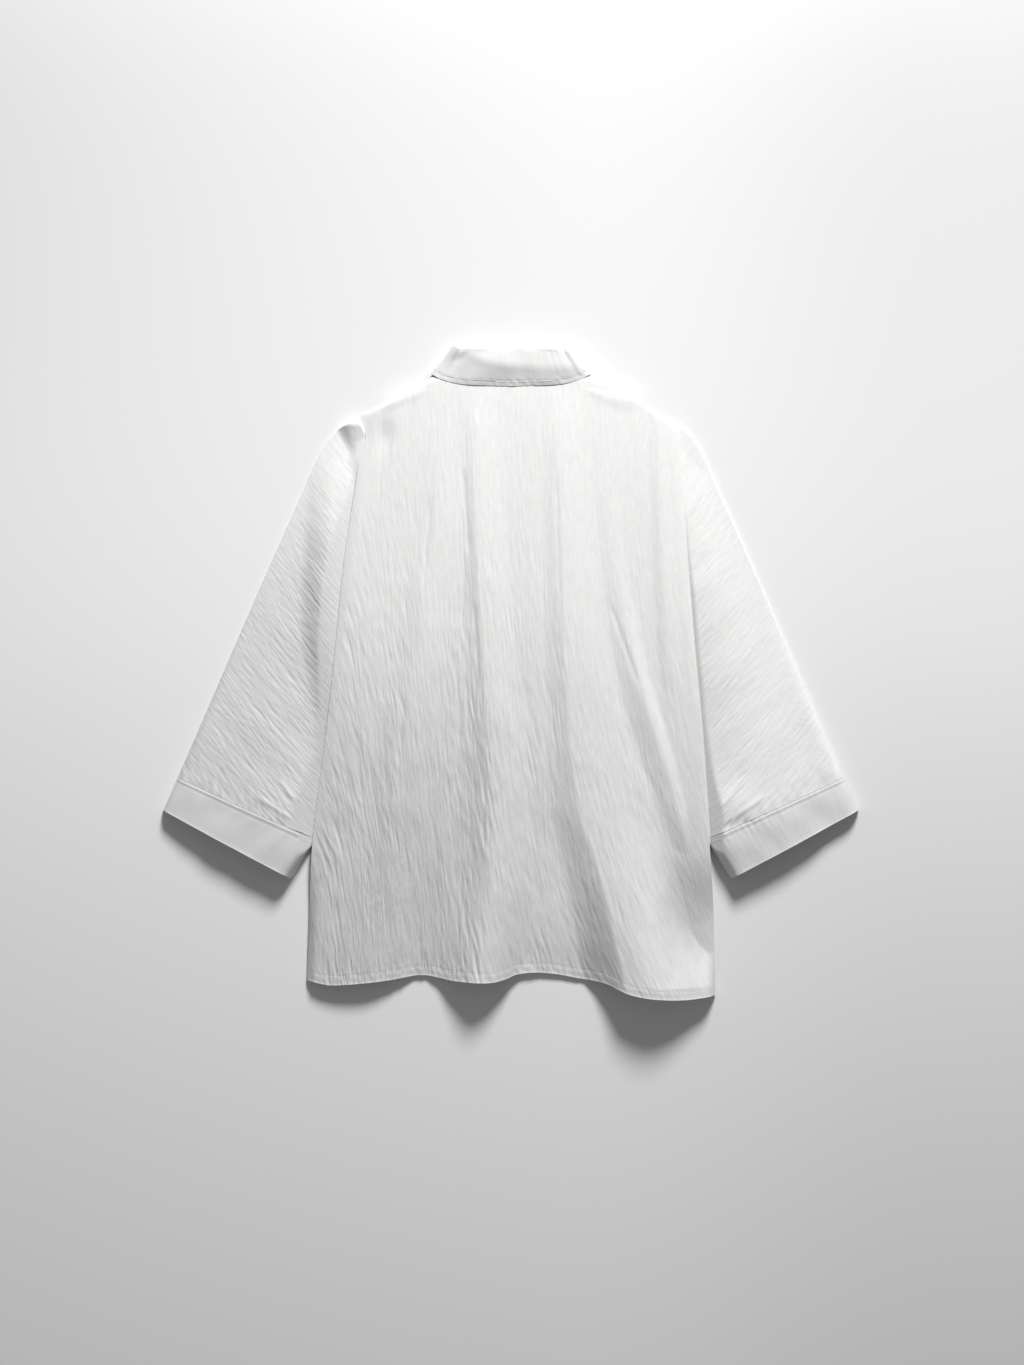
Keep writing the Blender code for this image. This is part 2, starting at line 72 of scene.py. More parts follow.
# ---- sizes of the detail ----
EDGE_ROLL = 0.011  # how far in the back rounds over at its sides and shoulders
SHOULDER_ROLL = 0.005
BACK_WALL = 0.0012
PANEL_WALL = 0.0007
SLEEVE_WALL = 0.0007
CUFF_WALL = 0.0011
COLLAR_WALL = 0.0011
HEM_DEPTH = 0.0100
HEM_EXTRA = 0.0006  # the turned cloth under the hem
PAINTED_CREASE_SHADE = 0.20  # painted shade: how much the cloth's colour is darkened where it is closely creased or lies in a hollow, standing in for the shade of creases too fine to model
STITCH_PITCH = 0.0030
STITCH_LENGTH = 0.0021
STITCH_RADIUS = 0.00026
BACK_LENGTH = 0.690
BACK_ACROSS = 0.440
LOWEST = 0.00005  # the cloth's clearance from the surface
SLEEVE_GRAIN_TILT = math.radians(38)
CUFF_STITCH_ROWS = (0.13, 0.94)  # as shares of the cuff's depth
COLLAR_STITCH_IN = 0.0055  # from the fall's edge
STAND_POINTS = 9
ROLL_POINTS = 13
FALL_FROM = STAND_POINTS + ROLL_POINTS + 1

# ---- tables: one row for each station ----
def rows_of(kind, *rows):
    return tuple(kind(*row) for row in rows)


Edge = namedtuple("Edge", "y left right")
SIDES = rows_of(
    Edge,
    (0.292, -0.173, 0.190),
    (0.270, -0.1665, 0.193),
    (0.240, -0.174, 0.195),
    (0.190, -0.182, 0.198),
    (0.130, -0.191, 0.202),
    (0.030, -0.201, 0.210),
    (-0.070, -0.212, 0.219),
    (-0.200, -0.228, 0.228),
    (-0.280, -0.232, 0.233),
    (-0.372, -0.235, 0.235),
)

Point = namedtuple("Point", "x y")
SHOULDER_LINE = rows_of(
    Point,
    (-0.173, 0.2935),
    (-0.132, 0.318),
    (-0.098, 0.3345),
    (-0.090, 0.3400),
    (-0.080, 0.3412),
    (0.080, 0.3415),
    (0.090, 0.3410),
    (0.098, 0.3375),
    (0.115, 0.331),
    (0.138, 0.319),
    (0.158, 0.305),
    (0.177, 0.2915),
    (0.190, 0.2835),
)
HEM = rows_of(
    Point,
    (-0.235, -0.353),
    (-0.205, -0.358),
    (-0.175, -0.356),
    (-0.137, -0.352),
    (-0.103, -0.3475),
    (-0.063, -0.3525),
    (-0.024, -0.3530),
    (-0.006, -0.3505),
    (0.006, -0.3465),
    (0.028, -0.3445),
    (0.045, -0.3455),
    (0.080, -0.3515),
    (0.108, -0.3555),
    (0.122, -0.3610),
    (0.139, -0.3670),
    (0.163, -0.3705),
    (0.200, -0.3725),
    (0.235, -0.3700),
)
FRONT_HEM = rows_of(
    Point,
    (-0.235, -0.348),
    (-0.120, -0.345),
    (0.040, -0.339),
    (0.120, -0.352),
    (0.235, -0.364),
)

Level = namedtuple("Level", "y height")
BACK_LEVEL = rows_of(
    Level,
    (0.350, 0.0130),
    (0.260, 0.0125),
    (0.090, 0.0110),
    (-0.090, 0.0098),
    (-0.220, 0.0078),
    (-0.360, 0.0034),
)

# The folds of the back, each at these nine stations from the neck to the hem: where its crest runs,
# how far it rises, and its half width to the left and to the right of the crest. A low full makes the
# crest broad, and steep is how far the left side drops straight from the crest.
STATIONS = (0.300, 0.182, 0.094, 0.015, -0.070, -0.150, -0.220, -0.290, -0.360)
Fold = namedtuple("Fold", "x rise left right full steep")
BACK_FOLDS = {
    "left_hem": Fold(
        x=(-0.130, -0.132, -0.140, -0.145, -0.150, -0.155, -0.160, -0.164, -0.166),
        rise=(0.0, 0.0, 0.0, 0.0005, 0.0015, 0.0030, 0.0055, 0.0095, 0.0135),
        left=(0.050, 0.055, 0.060, 0.070, 0.080, 0.090, 0.100, 0.110, 0.120),
        right=(0.050, 0.050, 0.050, 0.052, 0.054, 0.056, 0.058, 0.060, 0.062),
        full=0.75,
        steep=0.0,
    ),
    "left_back": Fold(
        x=(-0.078, -0.084, -0.100, -0.108, -0.121, -0.129, -0.137, -0.142, -0.145),
        rise=(0.0, 0.0016, 0.0034, 0.0048, 0.0056, 0.0056, 0.0042, 0.0018, 0.0),
        left=(0.020, 0.023, 0.026, 0.030, 0.033, 0.035, 0.036, 0.038, 0.038),
        right=(0.030, 0.034, 0.040, 0.044, 0.046, 0.048, 0.050, 0.055, 0.055),
        full=1.0,
        steep=0.3,
    ),
    "middle": Fold(
        x=(-0.043, -0.040, -0.036, -0.032, -0.025, -0.021, -0.022, -0.031, -0.036),
        rise=(0.0010, 0.0036, 0.0052, 0.0062, 0.0080, 0.0105, 0.0150, 0.0230, 0.0330),
        left=(0.016, 0.018, 0.020, 0.023, 0.030, 0.038, 0.046, 0.056, 0.066),
        right=(0.034, 0.037, 0.040, 0.044, 0.048, 0.050, 0.052, 0.053, 0.050),
        full=0.8,
        steep=0.75,
    ),
    "right": Fold(
        x=(0.053, 0.056, 0.059, 0.063, 0.069, 0.078, 0.099, 0.117, 0.132),
        rise=(0.0010, 0.0030, 0.0048, 0.0062, 0.0080, 0.0104, 0.0152, 0.0225, 0.0305),
        left=(0.018, 0.020, 0.022, 0.024, 0.028, 0.034, 0.040, 0.045, 0.048),
        right=(0.038, 0.042, 0.048, 0.056, 0.070, 0.090, 0.095, 0.112, 0.170),
        full=0.55,
        steep=0.70,
    ),
    "right_hem": Fold(
        x=(0.150,) * 6 + (0.152, 0.160, 0.172),
        rise=(0.0,) * 5 + (0.0005, 0.0024, 0.0066, 0.0110),
        left=(0.060,) * 9,
        right=(0.050,) * 6 + (0.055, 0.060, 0.066),
        full=1.0,
        steep=0.0,
    ),
    "right_ridge": Fold(
        x=(0.100, 0.112, 0.124, 0.140, 0.165, 0.188, 0.203, 0.210, 0.212),
        rise=(0.0, 0.0006, 0.0018, 0.0034, 0.0050, 0.0052, 0.0034, 0.0006, 0.0),
        left=(0.022, 0.024, 0.026, 0.027, 0.028, 0.030, 0.032, 0.034, 0.034),
        right=(0.018, 0.018, 0.018, 0.017, 0.016, 0.016, 0.018, 0.020, 0.020),
        full=1.0,
        steep=0.5,
    ),
    "right_side": Fold(
        x=(0.168, 0.171, 0.175, 0.180, 0.186) + (0.190,) * 4,
        rise=(0.0008, 0.0022, 0.0026, 0.0022, 0.0008) + (0.0,) * 4,
        left=(0.013, 0.014, 0.015) + (0.016,) * 6,
        right=(0.020,) * 9,
        full=1.0,
        steep=0.4,
    ),
}

# Broad soft hollows (below 0) and swellings of the back.
Dent = namedtuple("Dent", "x y across down lift")
BACK_DENTS = rows_of(
    Dent,
    (0.214, -0.300, 0.050, 0.090, -0.0120),
    (0.022, 0.060, 0.030, 0.120, 0.0010),
    (-0.170, 0.020, 0.040, 0.160, 0.0012),
    (-0.060, -0.120, 0.022, 0.080, -0.0012),
    (0.030, -0.300, 0.040, 0.050, 0.0020),
)

# Faint pulls below the shoulders: both ends, and the height of the ridge.
DRAGS = (
    (0.084, 0.3230, 0.150, 0.3060, 0.0007),
    (0.094, 0.3155, 0.146, 0.3000, 0.0005),
    (-0.092, 0.3240, -0.150, 0.3010, 0.0006),
)

# Long sharp creases beside the folds: both ends, and the height, below 0 for a valley.
CREASES = (
    (-0.055, 0.233, -0.047, 0.129, -0.0008),
    (-0.043, 0.083, -0.036, -0.032, -0.0008),
    (0.052, 0.221, 0.056, 0.083, -0.0007),
    (-0.092, 0.198, -0.100, 0.095, -0.0008),
    (-0.122, -0.020, -0.130, -0.135, -0.0009),
    (0.112, 0.083, 0.148, -0.020, -0.0008),
    (-0.062, 0.020, -0.058, -0.090, -0.0007),
    (-0.180, -0.060, -0.168, -0.170, -0.0008),
)

# The same on a sleeve, fanning out from the inner end of the cuff's seam, for +X.
SLEEVE_DRAGS = (
    (0.229, -0.183, 0.292, -0.140, 0.0010),
    (0.226, -0.172, 0.268, -0.118, 0.0009),
    (0.238, -0.181, 0.315, -0.152, 0.0005),
)

Outer = namedtuple("Outer", "along x y")
SLEEVE_OUTER = rows_of(
    Outer,
    (0.00, 0.1600, 0.2890),
    (0.06, 0.1830, 0.2875),
    (0.10, 0.1985, 0.2800),
    (0.15, 0.2160, 0.2580),
    (0.25, 0.2378, 0.2110),
    (1.00, 0.3826, -0.1200),
)
Puff = namedtuple("Puff", "along height")
SLEEVE_PUFF = rows_of(
    Puff,
    (0.0, 0.0020),
    (0.2, 0.0065),
    (0.6, 0.0110),
    (0.9, 0.0165),
    (1.0, 0.0180),
    (1.25, 0.0186),
)

Strip = namedtuple("Strip", "turn seam roll edge facing")
COLLAR = rows_of(
    Strip,
    (0.00, (0.0000, 0.3345, 0.0138), (0.0000, 0.3688, 0.0180), (0.0000, 0.3275, 0.0133), 0),
    (0.25, (0.0420, 0.3355, 0.0138), (0.0400, 0.3688, 0.0178), (0.0520, 0.3295, 0.0133), 3),
    (0.40, (0.0690, 0.3385, 0.0138), (0.0590, 0.3680, 0.0170), (0.0810, 0.3360, 0.0131), 13),
    (0.46, (0.0790, 0.3435, 0.0120), (0.0655, 0.3668, 0.0145), (0.0900, 0.3412, 0.0110), 44),
    (0.50, (0.0785, 0.3470, 0.0092), (0.0678, 0.3650, 0.0110), (0.0928, 0.3436, 0.0070), 90),
    (0.54, (0.0735, 0.3455, 0.0066), (0.0665, 0.3620, 0.0066), (0.0905, 0.3420, 0.0012), 140),
    (0.62, (0.0715, 0.3140, 0.0060), (0.0620, 0.3450, 0.0036), (0.0870, 0.3220, 0.0011), 175),
    (0.82, (0.0440, 0.2735, 0.0060), (0.0380, 0.3020, 0.0036), (0.0680, 0.2520, 0.0011), 180),
    (1.00, (0.0050, 0.2600, 0.0068), (0.0040, 0.2880, 0.0038), (0.0380, 0.2250, 0.0011), 180),
)
# Where the fall bends over along its depth, 0 at the roll and 1 at the edge, and how far it stands out there.
Bend = namedtuple("Bend", "turn place height")
COLLAR_BENDS = rows_of(
    Bend,
    (-1.00, 0.40, 0.0),
    (-0.54, 0.40, 0.0),
    (-0.45, 0.40, -0.0006),
    (-0.36, 0.30, -0.0016),
    (-0.28, 0.20, 0.0004),
    (-0.14, 0.36, 0.0026),
    (0.05, 0.46, 0.0026),
    (0.20, 0.52, 0.0022),
    (0.34, 0.56, 0.0014),
    (0.46, 0.60, 0.0006),
    (0.54, 0.50, 0.0),
    (1.00, 0.50, 0.0),
)
COLLAR_ROLL_RADIUS = 0.0030


# ---- small maths ----
def smooth_step(x, start, end):
    """0 at start, 1 at end, level at both; it runs backwards when end is below start."""
    t = np.clip((np.asarray(x, float) - start) / (end - start), 0.0, 1.0)
    return t * t * (3.0 - 2.0 * t)


def smooth_through(stations, values):
    """A smooth curve through the stations that never overshoots them (monotone cubic)."""
    order = np.argsort(stations)
    xs = np.asarray(stations, float)[order]
    ys = np.asarray(values, float)[order]
    step = np.diff(xs)
    slope = np.diff(ys) / step
    tangent = np.concatenate([[slope[0]], np.zeros(len(xs) - 2), [slope[-1]]])
    for i in range(1, len(xs) - 1):
        before, after = slope[i - 1], slope[i]
        if before * after > 0:
            near, far = 2 * step[i] + step[i - 1], step[i] + 2 * step[i - 1]
            tangent[i] = (near + far) / (near / before + far / after)

    def at(x):
        x = np.clip(np.asarray(x, float), xs[0], xs[-1])
        i = np.clip(np.searchsorted(xs, x, side="right") - 1, 0, len(step) - 1)
        h = step[i]
        t = (x - xs[i]) / h
        return (
            ys[i] * (1 + 2 * t) * (1 - t) ** 2
            + tangent[i] * h * t * (1 - t) ** 2
            + ys[i + 1] * t * t * (3 - 2 * t)
            + tangent[i + 1] * h * t * t * (t - 1)
        )

    return at


def along(table, key, value):
    """A smooth curve through one column of a table, read by another."""
    return smooth_through([getattr(row, key) for row in table], [getattr(row, value) for row in table])


left_side = along(SIDES, "y", "left")
right_side = along(SIDES, "y", "right")
shoulder_y = along(SHOULDER_LINE, "x", "y")
hem_y = along(HEM, "x", "y")
front_hem_y = along(FRONT_HEM, "x", "y")
back_level = along(BACK_LEVEL, "y", "height")
sleeve_puff = along(SLEEVE_PUFF, "along", "height")
outer_x = along(SLEEVE_OUTER, "along", "x")
outer_y = along(SLEEVE_OUTER, "along", "y")


def soft_minimum(a, b, blend=0.002):
    """The smaller of two heights, rounded where they cross."""
    h = np.clip(0.5 + 0.5 * (b - a) / blend, 0.0, 1.0)
    return b * (1 - h) + a * h - blend * h * (1 - h)


def unit(vectors):
    return vectors / np.maximum(np.linalg.norm(vectors, axis=-1, keepdims=True), 1e-12)


def noise(x, y, seed):
    """Smooth gradient noise, about -1 to 1, with cells one unit wide."""
    size = 256
    angle = np.random.default_rng(seed).random((size, size)) * 2 * math.pi
    gx, gy = np.cos(angle), np.sin(angle)
    x, y = np.broadcast_arrays(np.asarray(x, float), np.asarray(y, float))
    ix, iy = np.floor(x).astype(int), np.floor(y).astype(int)
    fx, fy = x - ix, y - iy
    u = fx**3 * (fx * (6 * fx - 15) + 10)
    v = fy**3 * (fy * (6 * fy - 15) + 10)

    def corner(dx, dy):
        i, j = (ix + dx) % size, (iy + dy) % size
        return gx[i, j] * (fx - dx) + gy[i, j] * (fy - dy)

    low = corner(0, 0) * (1 - u) + corner(1, 0) * u
    high = corner(0, 1) * (1 - u) + corner(1, 1) * u
    return 1.5 * (low * (1 - v) + high * v)


# ---- the crinkle of the cloth ----
def crinkle(s, t, seed):
    """Thin, long, uneven creases about a millimetre high in all: s runs across them and t along them."""
    wander = 0.0040 * noise(s / 0.040, t / 0.110, seed + 1)
    wander = wander + 0.0013 * noise(s / 0.012, t / 0.040, seed + 2)
    patchy = 0.80 + 0.55 * noise(s / 0.032, t / 0.075, seed + 3)
    wide = 0.34 - np.sqrt(noise((s + wander) / 0.0080, t / 0.080, seed + 4) ** 2 + 0.003)
    thin = 0.30 - np.sqrt(noise((s + wander) / 0.0039, t / 0.052, seed + 5) ** 2 + 0.002)
    small = noise((s + 0.5 * wander) / 0.0025, t / 0.020, seed + 6)
    return 0.00036 * wide + 0.00090 * patchy * thin + 0.00036 * patchy * small


def back_grain(x, y):
    """Across and along the back's crinkle: upright at the neck, leaning over to the right lower down."""
    below = np.maximum(0.25 - y, 0.0)
    lean = 0.08 + 0.09 * smooth_step(x, -0.02, 0.22)
    near_left = smooth_step(x, -0.050, -0.210) * np.clip(0.20 - y, 0.0, 0.42)
    return x - lean * below**2 / 0.60 - 0.24 * near_left, y


# ---- heights of the layers ----
def front_lift(x, y):
    strip = smooth_step(np.abs(x), PLACKET_HALF[1], PLACKET_HALF[0])
    collar = smooth_step(np.abs(x), *COLLAR_LIFT_X) * smooth_step(y, *COLLAR_LIFT_Y)
    return PLACKET_LIFT * np.maximum(strip, collar)


def over_sleeve(x, y):
    return smooth_step(np.abs(x), *ARMHOLE_REACH) * smooth_step(y, *ARMHOLE_ZONE)


def back_rest(x, y):
    """The level that the back's edge comes down to: just above the fronts, or above the sleeve."""
    on_front = front_lift(x, y) + 0.0023
    return on_front + (BACK_ON_SLEEVE - on_front) * over_sleeve(x, y)


def fold_height(fold, x, y):
    crest, rise, left, right = (smooth_through(STATIONS, column)(y) for column in fold[:4])
    on_left = x < crest
    away = np.clip(np.abs(x - crest) / np.where(on_left, left, right), 0.0, 1.0)
    round_top = (0.5 * (1 + np.cos(math.pi * away))) ** fold.full
    sharp_top = 1.0 - np.sin(0.5 * math.pi * (np.sqrt(away**2 + 0.012) - 0.1095) / 0.8965)
    share = np.where(on_left, fold.steep, 0.0)
    return rise * (round_top * (1 - share) + sharp_top * share)


def dents(table, x, y):
    total = 0.0
    for dent in table:
        far = ((x - dent.x) / dent.across) ** 2 + ((y - dent.y) / dent.down) ** 2
        total = total + dent.lift * np.exp(-1.5 * far)
    return total


def drag_lines(table, x, y):
    """Faint straight pulls in the cloth."""
    total = 0.0
    for x0, y0, x1, y1, lift in table:
        length = math.hypot(x1 - x0, y1 - y0)
        ahead = ((x - x0) * (x1 - x0) + (y - y0) * (y1 - y0)) / length
        beside = ((y - y0) * (x1 - x0) - (x - x0) * (y1 - y0)) / length
        ends = smooth_step(ahead, -0.004, 0.018) * smooth_step(ahead, length + 0.004, length - 0.022)
        total = total + lift * ends * np.exp(-((beside / 0.0030) ** 2))
    return total


def rounded(distance, reach):
    return np.sin(0.5 * math.pi * np.clip(distance / reach, 0.0, 1.0)) ** 0.85


def back_creasing_and_painted_shade(x, y):
    """How closely creased the back is, 0 to 1, which also sets how far painted shade darkens its colour: most
    low on the left, in the hollow by the right edge and under the right fold.
    """
    s, t = back_grain(x, y)
    low = smooth_step(y, 0.16, -0.20) * (1.0 - 0.50 * smooth_step(x, -0.10, 0.10))
    # Painted shade in the hollow by the right edge and under the right fold, where shade falls.
    hollow = np.exp(-1.3 * (((x - 0.210) / 0.038) ** 2 + ((y + 0.250) / 0.080) ** 2))
    under_fold = np.exp(-1.3 * (((x - 0.095) / 0.030) ** 2 + ((y + 0.320) / 0.070) ** 2))
    return np.clip(low + hollow + 0.8 * under_fold, 0.0, 1.3) * (0.9 + 0.25 * noise(s / 0.016, t / 0.045, 12))


def back_surface(x, y):
    """The back's upper face: level, folds, hollows and crinkle, rounded down at its sides and shoulders."""
    s, t = back_grain(x, y)
    calm = smooth_step(y, 0.330, 0.280)
    folds = sum(fold_height(fold, x, y) for fold in BACK_FOLDS.values()) + dents(BACK_DENTS, x, y)
    lower = smooth_step(y, 0.24, -0.20)
    to_right = smooth_step(x, -0.02, 0.09)
    strength = (0.42 + 1.35 * lower) * (1.0 - 0.50 * to_right)
    lumps = 0.0004 * noise(s / 0.034, t / 0.110, 11) * (0.5 + lower)
    height = back_level(y) + folds * calm + (strength * crinkle(s, t, 20) + lumps) * (0.35 + 0.65 * calm)
    height = height + drag_lines(DRAGS, x, y) + drag_lines(CREASES, x, y)
    height = np.maximum(height, back_rest(x, y) + 0.0008)
    side = np.minimum(x - left_side(y), right_side(y) - x)
    shoulder = (shoulder_y(x) - y) * 0.88
    neck = smooth_step(np.abs(x), NECK_HALF - 0.010, NECK_HALF - 0.001)
    edge = rounded(side, EDGE_ROLL) * (1 - neck * (1 - rounded(shoulder, SHOULDER_ROLL)))
    left_head = smooth_step(y, 0.150, 0.262)
    edge = edge * (1 - left_head * (1 - smooth_step(x - left_side(y), -0.006, 0.040)))
    rest = back_rest(x, y)
    return rest + (height - rest) * edge


# ---- meshes ----
def grid_normals(points, ring):
    if ring:
        across = np.roll(points, -1, axis=1) - np.roll(points, 1, axis=1)
    else:
        across = np.gradient(points, axis=1)
    return unit(np.cross(np.gradient(points, axis=0), across))


def add_piece(name, vertices, faces, material, grain=None):
    mesh = bpy.data.meshes.new(name)
    mesh.from_pydata(np.asarray(vertices, float).tolist(), [], faces)
    mesh.validate()
    mesh.materials.append(material)
    mesh.shade_smooth()
    mesh.set_sharp_from_angle(angle=math.radians(62))
    if grain is not None:
        layer = mesh.attributes.new("grain", "FLOAT_VECTOR", "POINT")
        layer.data.foreach_set("vector", np.asarray(grain, np.float32).ravel())
    piece = bpy.data.objects.new(name, mesh)
    bpy.context.scene.collection.objects.link(piece)
    return piece


def shell(name, outer, wall, material, grain, ring=False, coarse=2, normals=None):
    """A closed shell of cloth: a fine outer grid, and an inner one with one point in coarse each way."""
    rows, columns = outer.shape[:2]
    wall = np.broadcast_to(wall, (rows, columns))[..., None]
    normals = grid_normals(outer, ring) if normals is None else normals
    inner = (outer - wall * normals)[::coarse, ::coarse]
    few_rows, few_columns = inner.shape[:2]
    shift = rows * columns

    def fine(row, column):
        return row * columns + column % columns

    def few(row, column):
        return shift + row * few_columns + column % few_columns

    faces = []
    for row in range(rows - 1):
        for column in range(columns if ring else columns - 1):
            near, far = column, column + 1
            faces.append((fine(row, near), fine(row + 1, near), fine(row + 1, far), fine(row, far)))
    for row in range(few_rows - 1):
        for column in range(few_columns if ring else few_columns - 1):
            near, far = column, column + 1
            faces.append((few(row, near), few(row, far), few(row + 1, far), few(row + 1, near)))
    for column in range(few_columns if ring else few_columns - 1):
        top = [fine(0, coarse * column + i) for i in range(coarse + 1)]
        faces.append((*top, few(0, column + 1), few(0, column)))
        end = [fine(rows - 1, coarse * column + i) for i in range(coarse, -1, -1)]
        faces.append((*end, few(few_rows - 1, column), few(few_rows - 1, column + 1)))
    if not ring:
        for row in range(few_rows - 1):
            left = [fine(coarse * row + i, 0) for i in range(coarse, -1, -1)]
            faces.append((*left, few(row, 0), few(row + 1, 0)))
            right = [fine(coarse * row + i, columns - 1) for i in range(coarse + 1)]
            faces.append((*right, few(row + 1, few_columns - 1), few(row, few_columns - 1)))
    points = np.concatenate([outer.reshape(-1, 3), inner.reshape(-1, 3)])
    marks = np.concatenate([grain.reshape(-1, 3), grain[::coarse, ::coarse].reshape(-1, 3)])
    return add_piece(name, points, faces, material, marks)


def odd(count):
    return count + 1 - count % 2


def eased(count, length, rolled, curled):
    """Fractions of length from 0 to 1 for a grid line: curled of them over each rolled end, the rest even."""
    turn = np.linspace(0, math.pi / 2, curled + 1)[:-1]
    near = rolled / length * (1 - np.cos(turn))
    middle = np.linspace(rolled / length, 1 - rolled / length, count - 2 * curled)
    return np.concatenate([near, middle, 1 - near[::-1]])


def patch(top, bottom, left, right):
    """A grid filling four boundary curves that share their corners (a Coons patch)."""
    u = np.linspace(0, 1, len(top))[:, None]
    v = np.linspace(0, 1, len(left))[:, None, None]
    ruled = (1 - v) * top + v * bottom
    sides = (1 - u) * left[:, None] + u * right[:, None]
    corners = (1 - v) * ((1 - u) * top[0] + u * top[-1]) + v * ((1 - u) * bottom[0] + u * bottom[-1])
    return ruled + sides - corners


def stitches(points, normals, made):
    """Adds rounded stitches along a line of points on the cloth to made, a (vertices, faces) pair."""
    vertices, faces = made
    points, normals = np.asarray(points, float), unit(np.asarray(normals, float))
    walked = np.concatenate([[0], np.cumsum(np.linalg.norm(np.diff(points, axis=0), axis=1))])
    middles = np.arange(STITCH_PITCH * 0.5, walked[-1] - STITCH_PITCH * 0.4, STITCH_PITCH)
    rings = ((-0.50, 0.25, -0.3), (-0.30, 0.9, 0.35), (0.0, 1.0, 0.6), (0.30, 0.9, 0.35), (0.50, 0.25, -0.3))
    sides = 6
    for middle in middles:
        first = len(vertices)
        reach = middle + STITCH_LENGTH * np.array([ring[0] for ring in rings])
        at = np.stack([np.interp(reach, walked, points[:, i]) for i in range(3)], axis=1)
        up = unit(np.array([np.interp(middle, walked, normals[:, i]) for i in range(3)]))
        ahead = unit(at[-1] - at[0])
        beside = unit(np.cross(up, ahead))
        for (_, width, lift), centre in zip(rings, at):
            centre = centre + up * STITCH_RADIUS * lift
            for k in range(sides):
                a = 2 * math.pi * k / sides
                vertices.append(centre + STITCH_RADIUS * width * (math.cos(a) * beside + math.sin(a) * up))
        for ring in range(len(rings) - 1):
            for k in range(sides):
                j, low, high = (k + 1) % sides, first + ring * sides, first + (ring + 1) * sides
                faces.append((low + k, low + j, high + j, high + k))
        faces.append(tuple(first + k for k in reversed(range(sides))))
        faces.append(tuple(first + (len(rings) - 1) * sides + k for k in range(sides)))


# ---- materials ----
def new_material(name, colour, roughness):
    material = bpy.data.materials.new(name)
    material.use_nodes = True
    nodes = material.node_tree.nodes
    shader = nodes["Principled BSDF"]
    shader.inputs["Base Color"].default_value = (*colour, 1.0)
    shader.inputs["Roughness"].default_value = roughness
    return material, nodes, material.node_tree.links, shader


def noise_node(nodes, links, vector, scale, detail):
    node = nodes.new("ShaderNodeTexNoise")
    node.inputs["Scale"].default_value = scale
    node.inputs["Detail"].default_value = detail
    links.new(vector, node.inputs["Vector"])
    return node.outputs["Fac"]


def scaled(nodes, links, vector, x, y):
    node = nodes.new("ShaderNodeMapping")
    node.inputs["Scale"].default_value = (x, y, 0.0)
    links.new(vector, node.inputs["Vector"])
    return node.outputs["Vector"]


def bump_node(nodes, links, height, distance, before=None, strength=None):
    node = nodes.new("ShaderNodeBump")
    node.inputs["Strength"].default_value = 1.0
    node.inputs["Distance"].default_value = distance
    if strength is not None:
        links.new(strength, node.inputs["Strength"])
    links.new(height, node.inputs["Height"])
    if before is not None:
        links.new(before, node.inputs["Normal"])
    return node.outputs["Normal"]


def math_node(nodes, links, operation, *inputs):
    """A math node whose inputs are sockets or plain numbers."""
    node = nodes.new("ShaderNodeMath")
    node.operation = operation
    for socket, given in zip(node.inputs, inputs):
        if isinstance(given, float):
            socket.default_value = given
        else:
            links.new(given, socket)
    return node


def cloth_material(name, colour, shade, fine):
    """Crinkled plain weave: the threads, fine creases that follow the grain, slightly uneven white, and
    painted shade that greys it where the grain's third value is high, which also deepens the creases.
    """
    material, nodes, links, shader = new_material(name, colour, 0.60)
    shader.inputs["Sheen Weight"].default_value = 0.12
    shader.inputs["Sheen Roughness"].default_value = 0.45
    shader.inputs["Specular IOR Level"].default_value = 0.35
    grain = nodes.new("ShaderNodeAttribute")
    grain.attribute_name = "grain"
    vector = grain.outputs["Vector"]
    parts = nodes.new("ShaderNodeSeparateXYZ")
    links.new(vector, parts.inputs["Vector"])
    creases = noise_node(nodes, links, scaled(nodes, links, vector, 330.0, 48.0), 1.0, 3.0)
    threads = []
    for direction in ("X", "Y"):
        wave = nodes.new("ShaderNodeTexWave")
        wave.bands_direction = direction
        wave.inputs["Scale"].default_value = 620.0
        wave.inputs["Distortion"].default_value = 0.6
        links.new(vector, wave.inputs["Vector"])
        threads.append(wave.outputs["Fac"])
    weave = math_node(nodes, links, "MAXIMUM", *threads)
    depth = math_node(nodes, links, "MULTIPLY_ADD", parts.outputs["Z"], 0.70, 0.30)
    depth.use_clamp = True
    normal = bump_node(nodes, links, creases, fine, strength=depth.outputs[0])
    normal = bump_node(nodes, links, weave.outputs[0], 0.00003, normal)
    links.new(normal, shader.inputs["Normal"])
    uneven = noise_node(nodes, links, scaled(nodes, links, vector, 230.0, 60.0), 1.0, 6.0)
    ramp = nodes.new("ShaderNodeValToRGB")
    ramp.color_ramp.elements[0].position = 0.30
    ramp.color_ramp.elements[1].position = 0.70
    ramp.color_ramp.elements[0].color = (*(c * shade for c in colour), 1.0)
    ramp.color_ramp.elements[1].color = (*colour, 1.0)
    links.new(uneven, ramp.inputs["Fac"])
    # Painted shade: the colour is darkened in proportion to the grain's third value, standing in for shade in
    # creases and hollows.
    painted_shade_factor = math_node(nodes, links, "MULTIPLY_ADD", parts.outputs["Z"], -PAINTED_CREASE_SHADE, 1.0)
    tone = nodes.new("ShaderNodeHueSaturation")
    links.new(painted_shade_factor.outputs[0], tone.inputs["Value"])
    links.new(ramp.outputs["Color"], tone.inputs["Color"])
    links.new(tone.outputs["Color"], shader.inputs["Base Color"])
    return material


def thread_material():
    material, nodes, links, shader = new_material("thread", (0.80, 0.80, 0.79), 0.50)
    shader.inputs["Sheen Weight"].default_value = 0.10
    coordinate = nodes.new("ShaderNodeTexCoord")
    twist = noise_node(nodes, links, coordinate.outputs["Object"], 2600.0, 1.0)
    links.new(bump_node(nodes, links, twist, 0.00006), shader.inputs["Normal"])
    return material


